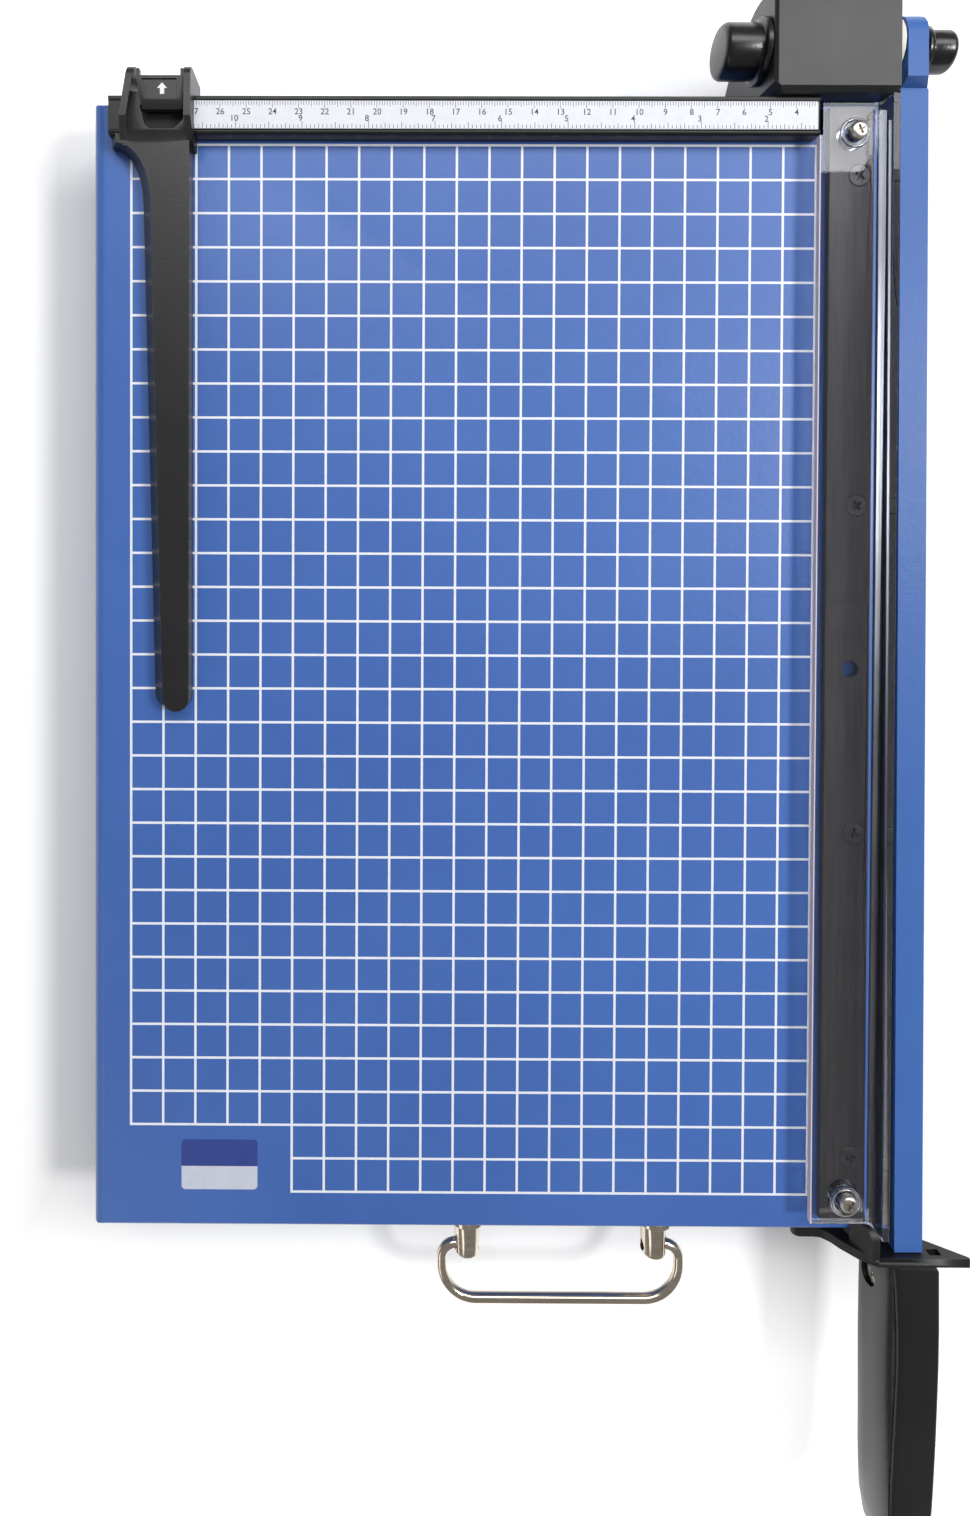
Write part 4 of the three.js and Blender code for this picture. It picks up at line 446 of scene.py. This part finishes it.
def loft(bm, rings):
    """A closed skin over rings of as many points each, with flat ends."""
    rings = [[bm.verts.new(point) for point in ring] for ring in rings]
    for lower, upper in zip(rings, rings[1:]):
        for j in range(len(lower)):
            n = (j + 1) % len(lower)
            bm.faces.new((lower[j], lower[n], upper[n], upper[j]))
    bm.faces.new(rings[0][::-1])
    bm.faces.new(rings[-1])
    bmesh.ops.recalc_face_normals(bm, faces=bm.faces)


def swept(bm, path, radius, sides=18):
    """A round rod along a path of points, with flat ends."""
    path = [Vector(p) for p in path]
    upright = 1e-4  # a shorter cross product means that the path goes straight up
    angles = [2 * math.pi * j / sides for j in range(sides)]
    rings = []
    for k, here in enumerate(path):
        ahead = (path[min(k + 1, len(path) - 1)] - path[max(k - 1, 0)]).normalized()
        side = ahead.cross(Vector((0, 0, 1)))
        side = side.normalized() if side.length > upright else Vector((1, 0, 0))
        over = side.cross(ahead).normalized()
        rings.append([here + radius * (math.cos(a) * side + math.sin(a) * over) for a in angles])
    loft(bm, rings)


def smooth(piece, degrees=32):
    """Smooth shading, with edges over an angle kept sharp."""
    piece.data.shade_smooth()
    bm = bmesh.new()
    bm.from_mesh(piece.data)
    limit = math.radians(degrees)
    for edge in bm.edges:
        edge.smooth = len(edge.link_faces) == 2 and edge.calc_face_angle(0) < limit
    bm.to_mesh(piece.data)
    bm.free()


# The way a turned piece faces, as its own three axes
WAYS = {
    "+X": ((0, 0, -1), (0, 1, 0), (1, 0, 0)),
    "-X": ((0, 0, 1), (0, 1, 0), (-1, 0, 0)),
    "-Y": ((1, 0, 0), (0, 0, 1), (0, -1, 0)),
    "+Z": ((1, 0, 0), (0, 1, 0), (0, 0, 1)),
}


def facing(way, place):
    """The matrix that turns +Z to face a way and moves the origin to a place."""
    return Matrix.Translation(place) @ Matrix(WAYS[way]).transposed().to_4x4()


def outer_face(node, way):
    """The middle of a node's face on that side, its length that way and half its width across."""
    low, high = node_box(node)
    middle = (low + high) / 2
    axis = "XYZ".index(way[1])
    middle[axis] = high[axis] if way[0] == "+" else low[axis]
    size = high - low
    across = [size[i] for i in range(3) if i != axis]
    return middle, size[axis], min(across) / 2


def cut_away(mesh, cutter):
    """The mesh with another one taken out of it."""
    body = bpy.data.objects.new("body", mesh)
    tool = bpy.data.objects.new("tool", cutter)
    for each in (body, tool):
        bpy.context.collection.objects.link(each)
    boolean = body.modifiers.new("cut", "BOOLEAN")
    boolean.object = tool
    boolean.solver = "EXACT"
    bpy.context.view_layer.update()
    result = bpy.data.meshes.new_from_object(body.evaluated_get(bpy.context.evaluated_depsgraph_get()))
    for each in (body, tool):
        bpy.data.objects.remove(each)
    return result


# Print


def printed_grid():
    """The white squares painted on the bed. Its first columns stop short, to leave room for the label."""
    left, pitch_x, columns = -155.3, INCH / 2, 21
    rear, pitch_y, rows = 249.4, 13.28, 31
    short_columns, short_rows = 5, 29
    half_line = 0.46
    low, high = BED_TOP - SUNK, BED_TOP + INK

    def build(bm):
        xs = [left + pitch_x * k for k in range(columns + 1)]
        ys = [rear - pitch_y * n for n in range(rows + 1)]
        for k, x in enumerate(xs):
            front = ys[short_rows] if k < short_columns else ys[rows]
            slab(bm, x - half_line, x + half_line, front - half_line, rear + half_line, low, high)
        for n, y in enumerate(ys):
            for k in range(0 if n <= short_rows else short_columns, columns):
                slab(bm, xs[k] + half_line, xs[k + 1] - half_line, y - half_line, y + half_line, low, high)

    add_piece("printed_grid", mesh_of("printed_grid", build), "print_white", "base")


def digits(text, size, x, y, z, thickness):
    """A number as a closed mesh, centred on (x, y)."""
    curve = bpy.data.curves.new("digits", "FONT")
    curve.body = text
    curve.size = size
    curve.align_x, curve.align_y = "CENTER", "CENTER"
    curve.extrude = thickness / 2
    curve.offset = 0.02  # a little bolder
    curve.resolution_u = 3
    holder = bpy.data.objects.new("digits", curve)
    bpy.context.collection.objects.link(holder)
    bpy.context.view_layer.update()
    mesh = bpy.data.meshes.new_from_object(holder.evaluated_get(bpy.context.evaluated_depsgraph_get()))
    bpy.data.objects.remove(holder)
    bpy.data.curves.remove(curve)
    mesh.transform(Matrix.Translation((x, y, z)))
    return mesh


def ruler_marks():
    """Millimetre and inch ticks with their numbers, counted from the cut plane."""
    low, high = node_box("ruler_strip")
    z0, z1 = high.z - SUNK, high.z + INK
    size, from_edge, metric_half, inch_half = 3.3, 0.3, 0.09, 0.1
    tick_margin, number_margin = 0.4, 2
    # A tick's length, from the largest step that its count falls on
    metric_ticks = ((10, 2.5), (5, 2.0), (1, 1.4))
    inch_ticks = ((16, 2.7), (8, 2.2), (4, 1.8), (1, 1.3))
    # How far a number's middle lies right or left of its tick, and from the strip's edge
    metric_right, metric_down, inch_left, inch_up = 0.1, 4.3, 0.6, 3.9
    numbers = [(str(c), CUT_PLANE - 10 * c + metric_right, high.y - metric_down) for c in range(4, 31)]
    numbers += [(str(n), CUT_PLANE - INCH * n - inch_left, low.y + inch_up) for n in range(2, 12)]

    def tick(count, lengths):
        return next(length for step, length in lengths if count % step == 0)

    def on_strip(x, margin):
        return low.x + margin < x < high.x - margin

    def build(bm):
        for count in range(32, 302):
            x = CUT_PLANE - count
            if on_strip(x, tick_margin):
                top = high.y - from_edge
                slab(bm, x - metric_half, x + metric_half, top - tick(count, metric_ticks), top, z0, z1)
        for count in range(16, 16 * 12):
            x = CUT_PLANE - count * INCH / 16
            if on_strip(x, tick_margin):
                foot = low.y + from_edge
                slab(bm, x - inch_half, x + inch_half, foot, foot + tick(count, inch_ticks), z0, z1)
        for text, x, y in numbers:
            if on_strip(x, number_margin):
                mesh = digits(text, size, x, y, (z0 + z1) / 2, z1 - z0)
                bm.from_mesh(mesh)
                bpy.data.meshes.remove(mesh)

    add_piece("ruler_marks", mesh_of("ruler_marks", build), "print_ink", "base")


def rounded(x0, x1, y0, y1, radius, corners, steps=6):
    """A rectangle's outline, anticlockwise from the front left, with round corners where corners says 1."""
    centres = [(x0 + radius, y0 + radius, 180), (x1 - radius, y0 + radius, 270),
               (x1 - radius, y1 - radius, 0), (x0 + radius, y1 - radius, 90)]
    outline = []
    for on, (x, y, start), sharp in zip(corners, centres, ((x0, y0), (x1, y0), (x1, y1), (x0, y1))):
        outline += arc(x, y, radius, start, steps) if on else [sharp]
    return outline


def label():
    """A plain sticker of two tones at the bed's front left."""
    x0, x1, y0, y1 = -135.3, -105.3, -161.5, -141.8
    corner, lower_share = 1.6, 0.47
    middle = y0 + (y1 - y0) * lower_share
    low, high = BED_TOP - SUNK, BED_TOP + STICKER
    mesh = mesh_of("label", lambda bm: (
        prism(bm, rounded(x0, x1, y0, middle, corner, (1, 1, 0, 0)), low, high, 0),
        prism(bm, rounded(x0, x1, middle, y1, corner, (0, 0, 1, 1)), low, high, 1),
    ))
    add_piece("label", mesh, ["label_silver", "label_navy"], "base")


def release_arrow():
    """A plain white arrow in the button's recess that points the way to push."""
    low, high = node_box("release_button")
    aside, ahead, depth, thickness = 1.0, 0.2, 0.6, 0.05
    x, y = (low.x + high.x) / 2 + aside, (low.y + high.y) / 2 - ahead
    recess = high.z - depth
    outline = [(-0.8, -2.1), (0.8, -2.1), (0.8, 0.1), (1.9, 0.1), (0, 2.2), (-1.9, 0.1), (-0.8, 0.1)]
    outline = [(x + a, y + b) for a, b in outline]
    mesh = mesh_of("arrow", lambda bm: prism(bm, outline, recess - SUNK, recess + thickness))
    add_piece("release_arrow", mesh, "print_white", "release_button")


# Screws, caps and springs


def cross_cutter(reach, depth):
    """A tapered cross that stands on its point, for a cross recess."""
    bottom, rise, arm = 0.45, 0.5, 0.24

    def outline(k):
        a, b = reach * k, reach * arm * (0.4 + 0.6 * k)
        return [(b, b), (b, a), (-b, a), (-b, b), (-a, b), (-a, -b), (-b, -b), (-b, -a), (b, -a), (b, -b),
                (a, -b), (a, b)]

    rings = [[(x, y, z) for x, y in outline(k)] for k, z in ((bottom, -depth), (1, rise))]
    return mesh_of("cross", lambda bm: loft(bm, rings))


def hexagon_cutter(reach, depth):
    """A straight prism, for a hexagon socket."""
    rise = 0.5
    outline = arc(0, 0, reach, 0, 6, 360)[:-1]
    return mesh_of("hexagon", lambda bm: prism(bm, outline, -depth, rise))


def screw_profile(head, radius, head_radius, head_height, length, pitch=0.8):
    """Half a screw's section from its tip up, with its head's outer face at height 0."""
    crest, root, neck = 0.02, 0.3, 0.05
    profile = [(0, -length), (radius - 0.5, -length), (radius - 0.1, -length + 0.4)]
    z = -length + 0.6
    while z < -head_height - pitch:
        profile += [(radius - crest, z), (radius - root, z + pitch / 2)]
        z += pitch
    profile.append((radius - neck, -head_height - neck))
    if head == "countersunk":
        return profile + [(head_radius - 0.12, -0.3), (head_radius, -0.12), (head_radius - 0.14, 0), (0, 0)]
    if head == "cap":
        return profile + [(head_radius, -head_height), (head_radius, -0.3), (head_radius - 0.3, 0), (0, 0)]
    rim = head_height * 0.6
    dome = arc(head_radius - rim, -rim, rim, 0, 6)
    return profile + [(head_radius, -head_height)] + dome + [(0, 0)]


def detailed_screw(node, way, head, radius, head_height, body, look="zinc_steel", turn=0.0, shank=None):
    """A screw with its recess and thread in place of a CAD one. Its shank can have a look of its own: the
    guard screws' is dark, as painted shade on the shank that shows through the clear guard.
    """
    face, length, head_radius = outer_face(node, way)
    profile = screw_profile(head, radius, head_radius, head_height, length)
    mesh = mesh_of(node, lambda bm: lathe(bm, profile, 40))
    depth = head_height * 0.7
    if head == "cap":
        mesh = cut_away(mesh, hexagon_cutter(head_radius * 0.5, depth))
    else:
        mesh = cut_away(mesh, cross_cutter(head_radius * 0.6, max(1.3, depth)))
    mesh.transform(Matrix.Rotation(math.radians(turn), 4, "Z"))
    mesh.transform(facing(way, face))
    out = Vector(WAYS[way][2])
    for polygon in mesh.polygons:
        below_head = (face - polygon.center).dot(out) > head_height - 0.01
        polygon.material_index = 1 if shank and below_head else 0
    piece = add_piece(node + "_detail", mesh, [look, shank] if shank else look, body, (node,))
    smooth(piece, 34)


def screws():
    """Every screw that shows, each recess turned by an angle from a short list."""
    turns = (12, 71, 38, 55, 24, 80, 5, 47)
    for k in range(4):
        detailed_screw(f"clamp_screw_{k + 1}", "+Z", "countersunk", 2.4, 2.0, "paper_clamp",
                       "dark_zinc", turns[k])
        detailed_screw(f"blade_screw_{k + 1}", "+X", "countersunk", 1.9, 1.7, "blade_arm", turn=turns[k + 2])
    for k, end in enumerate(("front", "rear")):
        # The guard screws' shanks are black metal as painted shade, where they show through the clear guard.
        detailed_screw(f"guard_screw_{end}", "+Z", "pan", 2.0, 2.6, "base",
                       turn=turns[k + 3], shank="black_metal")
    for k, look in enumerate(("zinc_steel", "black_metal")):
        detailed_screw(f"handle_screw_{k + 1}", "-X", "countersunk", 1.9, 1.7, "blade_arm", look, turns[k])
        detailed_screw(f"hub_screw_{k + 1}", "-Y", "cap", 1.9, 3.0, "base", turn=turns[k + 5])


def cap(node, way, radius, flange_radius, wall):
    """A turned push-on cap with a soft end, a waist and a lip at the flange."""
    low, high = node_box(node)
    length = high.x - low.x
    face, _, _ = outer_face(node, "+X" if way == "-X" else "-X")
    soft = 2.6
    bore = radius - wall
    flange = [(flange_radius - 0.25, 0), (flange_radius, 0.25), (flange_radius, 1.6),
              (flange_radius - 0.3, 1.98)]
    waist = [(radius + 0.5, 2.05), (radius - 0.15, 2.5), (radius - 0.2, 3.4), (radius - 0.02, 4.2)]
    end = arc(radius - soft, length - 0.25 - soft, soft, 0, 10)
    profile = [(0, length - 2 * wall), (bore, length - 2 * wall), (bore, 0.02)] + flange + waist + end
    profile += [(radius * 0.45, length - 0.08), (0, length)]
    mesh = mesh_of(node, lambda bm: lathe(bm, profile, 72, facing(way, face)))
    smooth(add_piece(node + "_detail", mesh, "black_gloss", "base", (node,)), 40)


def guard_rings():
    """The clear raised rings on the guard round its two screws, a little off their middles."""
    left, front = 0.6, 0.4
    profile = [(4.5, 0), (4.6, 0.35), (4.9, 0.5), (5.4, 0.5), (5.7, 0.35), (5.8, 0), (4.5, 0)]
    for end in ("front", "rear"):
        low, high = node_box(f"guard_screw_{end}")
        place = Vector(((low.x + high.x) / 2 - left, (low.y + high.y) / 2 - front, GUARD_TOP - SUNK))
        mesh = mesh_of(f"guard_ring_{end}", lambda bm: lathe(bm, profile, 48, Matrix.Translation(place)))
        smooth(add_piece(f"guard_ring_{end}", mesh, "clear_plastic", "base"), 50)


def coil(node, axis, wire, turns, body):
    """A compression spring with a closed turn at each end."""
    low, high = node_box(node)
    middle, size = (low + high) / 2, high - low
    radius = min(size) / 2 - wire
    length = size[axis] - 2 * wire
    one, other = [i for i in range(3) if i != axis]
    steps = 20  # to a turn

    def along(turn):
        if turn < 1:
            return 2 * wire * turn
        if turn > turns - 1:
            return length - 2 * wire * (turns - turn)
        return 2 * wire + (length - 4 * wire) * (turn - 1) / (turns - 2)

    path = []
    for k in range(turns * steps + 1):
        angle = 2 * math.pi * k / steps
        point = [0, 0, 0]
        point[axis] = low[axis] + wire + along(k / steps)
        point[one] = middle[one] + radius * math.cos(angle)
        point[other] = middle[other] + radius * math.sin(angle)
        path.append(point)
    mesh = mesh_of(node, lambda bm: swept(bm, path, wire, 10))
    piece = add_piece(node + "_detail", mesh, "zinc_steel", body, (node,))
    smooth(piece, 50)
    way, anchor = [0, 0, 0], list(middle * MM)
    way[axis], anchor[axis] = 1, high[axis] * MM
    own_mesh(piece)


def springs():
    """The four springs that hold the paper clamp down, along Z, and the button's own, along Y."""
    for k in range(4):
        coil(f"clamp_spring_{k + 1}", 2, 0.5, 7, "base")
    coil("release_spring", 1, 0.25, 5, "side_guide")


# The bail, the grip and the painted shade in the guide's well


def bail():
    """The bent nickel rod, from its end in one post round to its end in the other."""
    low, high = node_box("bail_rod")
    middle, z = (low.x + high.x) / 2, (low.z + high.z) / 2
    thickness, stub = 2.0, 2  # the rod's radius, and the straight bit before its first bend
    end, half = 37.7, 47.9  # from its middle to its ends and to its sides
    pivot, reach = 12.9, 35.5  # from the bed's front wall to its ends and to its far side
    root, bend = 6, 14  # radii of the bends near the posts and at the far corners
    left = [(-end, -pivot), (-end - stub, -pivot)]
    left += arc(-half + root, -pivot - root, root, 90, 12)
    left += arc(-half + bend, -reach + bend, bend, 180, 20)
    right = [(-x, y) for x, y in reversed(left)]
    path = [(middle + x, FRONT_WALL + y, z) for x, y in left + right]
    mesh = mesh_of("bail_rod", lambda bm: swept(bm, path, thickness))
    smooth(add_piece("bail_rod_detail", mesh, "nickel", "carry_bail", ("bail_rod",)), 40)


# Down the grip from its root: place, left face, seam, right face, underside and top
GRIP_STATIONS = (
    (-184.8, 139.0, 141.8, 158.4, 26.9, 46.6),
    (-186.5, 138.1, 141.6, 159.4, 26.2, 47.1),
    (-193.0, 138.1, 142.0, 159.5, 26.2, 47.1),
    (-208.6, 137.9, 142.8, 159.7, 26.2, 47.1),
    (-224.0, 137.8, 143.0, 159.6, 26.2, 47.1),
    (-239.8, 137.9, 142.4, 159.2, 26.2, 47.1),
    (-255.4, 138.1, 141.7, 158.7, 26.2, 47.1),
    (-271.0, 138.4, 141.0, 158.1, 26.2, 47.0),
    (-280.0, 138.7, 141.0, 157.7, 26.2, 46.9),
    (-290.0, 139.0, 141.5, 157.1, 26.4, 46.5),
    (-298.5, 140.0, 142.8, 155.9, 27.3, 45.2),
    (-304.0, 142.2, 144.6, 153.7, 29.4, 42.8),
    (-306.3, 144.6, 146.4, 151.2, 31.8, 40.2),
)
# The left half's crown, as shares of the way from its left face to the seam and from underside to top
GRIP_CROWN = ((0.02, 0.32), (0.09, 0.5), (0.22, 0.66), (0.42, 0.8), (0.66, 0.9), (0.86, 0.945))
SEAM_GAP = 0.12  # from the seam's middle to each half


def grip_section_left(left, seam, corner, low, top):
    """The left half's outline in one section, as (x, z)."""
    tall, inner = top - low, seam - SEAM_GAP
    near = min(corner, (inner - left) * 0.75)
    foot = [(inner, low), (left + near * 0.9, low), (left + near * 0.3, low + corner * 0.25),
            (left, low + corner)]
    crown = [(left + (seam - left) * across, low + tall * up) for across, up in GRIP_CROWN]
    return foot + crown + [(inner, top - 1.1)]


def grip_section_right(seam, right, corner, low, top):
    """The right half's outline in one section, as (x, z)."""
    near, crest = seam + SEAM_GAP, corner * 0.55
    foot = [(near, low), (right - corner, low)] + arc(right - corner, low + corner, corner, 270, 5)[1:]
    lip = [(near + 2.6, top - 0.02), (near + 1.3, top - 0.16), (near + 0.5, top - 0.5), (near, top - 1.05)]
    return foot + arc(right - crest, top - crest, crest, 0, 5) + lip


def grip():
    """The handle's two moulded halves, with the seam along the top's left edge."""
    rings = {"grip_left": [], "grip_right": []}
    for y, left, seam, right, low, top in GRIP_STATIONS:
        corner = min(2.8, (right - seam) * 0.3, (top - low) * 0.3)
        for node, section in (("grip_left", grip_section_left(left, seam, corner, low, top)),
                              ("grip_right", grip_section_right(seam, right, corner, low, top))):
            rings[node].append([(x, y, z) for x, z in section])
    halves = {node: mesh_of(node, lambda bm: loft(bm, rings[node])) for node in rings}
    low, high = node_box("handle_screw_1")
    middle = (low + high) / 2
    place = Vector((low.x + 0.9, middle.y, middle.z))  # the pocket's floor lies just under the head's face
    radius, depth = 4.1, 9
    bore = [(0, 0), (radius, 0), (radius, depth), (0, depth)]
    pocket = mesh_of("pocket", lambda bm: lathe(bm, bore, 40, facing("-X", place)))
    halves["grip_left"] = cut_away(halves["grip_left"], pocket)
    for node, half in halves.items():
        smooth(add_piece(node + "_detail", half, "black_gloss", "blade_arm", (node,)), 30)


def well_liner():
    """A thin black sheet on the floor of the well under the release button: painted shade, where the button
    above and the well's depth would darken it.
    """
    front = node_box("ruler_rail")[0].y
    right_face = node_box("side_guide")[1].x
    overhang, margin, gap = 1.6, 2.0, 0.1  # from the guide's right face to the well's wall, and a gap
    width, front_wall, rear_wall = 16.3, 0.9, 9.6
    corner, bevel = 3.5, 1.8
    x1 = right_face - overhang - margin - gap
    x0, y0, y1 = x1 - width, front + front_wall, front + rear_wall
    z0, z1 = WELL_FLOOR + 0.01, WELL_FLOOR + 0.25
    outline = [(x0 + 2 * bevel, y0), (x1 - corner, y0), (x1, y0 + corner), (x1, y1), (x0, y1),
               (x0 + bevel, y0 + bevel)]
    mesh = mesh_of("well_liner", lambda bm: prism(bm, outline, z0, z1))
    # A black sheet of painted shade, which moves with the guide.
    add_piece("well_liner", mesh, "black_liner", "side_guide")


# Floor and light, in metres

FLOOR_HALF = 6.0
# Round the object the floor glows less: the axis, two places on it, and the glow's share at each
GLOW_EDGES = (
    ("X", -0.25, -0.2, 1, 0),
    ("X", 0.17, 0.24, 0, 1),
    ("Y", -0.27, -0.19, 1, 0),
    ("Y", 0.24, 0.32, 0, 1),
)
GLOW_NEAR, GLOW_AWAY = 0.04, 0.55
HORIZON_GLOW, HORIZON_START, HORIZON_END = 0.5, 0.8, 2.2
WORLD_LIGHT, WORLD_SEEN = 0.25, 1.0  # the world's strength as light, and as the camera sees it


def floor():
    """A pale floor that glows away from the object, so that it comes out white with a soft shadow."""
    m = Nodes("floor")
    m.set(m.shader, Base_Color=(0.9, 0.9, 0.9), Roughness=0.9, Specular_IOR_Level=0.1,
          Emission_Color=(1, 1, 1))
    along = m.add("ShaderNodeSeparateXYZ")
    m.link(m.place, along.inputs[0])
    away = [m.between(along.outputs[axis], low, high, start, end)
            for axis, start, end, low, high in GLOW_EDGES]
    glow = m.math("MAXIMUM", m.math("MAXIMUM", away[0], away[1]), m.math("MAXIMUM", away[2], away[3]))
    distance = m.add("ShaderNodeVectorMath", operation="LENGTH")
    m.link(m.place, distance.inputs[0])
    horizon = m.between(distance.outputs["Value"], 0, HORIZON_GLOW, HORIZON_START, HORIZON_END)
    m.set(m.shader, Emission_Strength=m.math("ADD", m.between(glow, GLOW_NEAR, GLOW_AWAY), horizon))
    mesh = bpy.data.meshes.new("floor")
    corners = [(x * FLOOR_HALF, y * FLOOR_HALF, 0) for x, y in ((-1, -1), (1, -1), (1, 1), (-1, 1))]
    mesh.from_pydata(corners, [], [(0, 1, 2, 3)])
    mesh.materials.append(m.material)
    plane = bpy.data.objects.new("floor", mesh)
    bpy.context.collection.objects.link(plane)


def area_light(name, place, target, size, power):
    """A white rectangular lamp that faces its target."""
    data = bpy.data.lights.new(name, "AREA")
    data.shape = "RECTANGLE"
    data.size, data.size_y = size
    data.energy = power
    light = bpy.data.objects.new(name, data)
    light.location = place
    light.rotation_euler = (Vector(target) - Vector(place)).to_track_quat("-Z", "Y").to_euler()
    bpy.context.collection.objects.link(light)
    return light


def lighting():
    """A white world that lights the object only a little, and three soft lamps."""
    world = bpy.data.worlds.new("world")
    world.use_nodes = True
    background = world.node_tree.nodes["Background"]
    background.inputs["Color"].default_value = (1, 1, 1, 1)
    rays = world.node_tree.nodes.new("ShaderNodeLightPath")
    level = world.node_tree.nodes.new("ShaderNodeMapRange")
    level.inputs["To Min"].default_value = WORLD_LIGHT
    level.inputs["To Max"].default_value = WORLD_SEEN
    world.node_tree.links.new(rays.outputs["Is Camera Ray"], level.inputs["Value"])
    world.node_tree.links.new(level.outputs[0], background.inputs["Strength"])
    bpy.context.scene.world = world
    key = area_light("key", place=(1.75, 0.35, 2.2), target=(0, 0.05, 0), size=(0.5, 0.5), power=36)
    key.visible_transmission = False  # or its image shows as a white sliver in the clear guard's wall
    area_light("rear", place=(0.4, 1.08, 1.5), target=(0.4, 0.1, 0), size=(2.2, 0.6), power=22)
    area_light("left", place=(-0.8, -0.9, 0.7), target=(0, -0.2, 0), size=(0.9, 0.25), power=1.1)


make_camera()
dress_nodes()
printed_grid()
ruler_marks()
label()
release_arrow()
screws()
cap("pivot_cap_left", "-X", 10.5, 12.5, 1.7)
cap("pivot_cap_right", "+X", 8.0, 9.4, 1.1)
guard_rings()
springs()
bail()
grip()
well_liner()
floor()
lighting()

bpy.context.scene.view_settings.view_transform = "Standard"
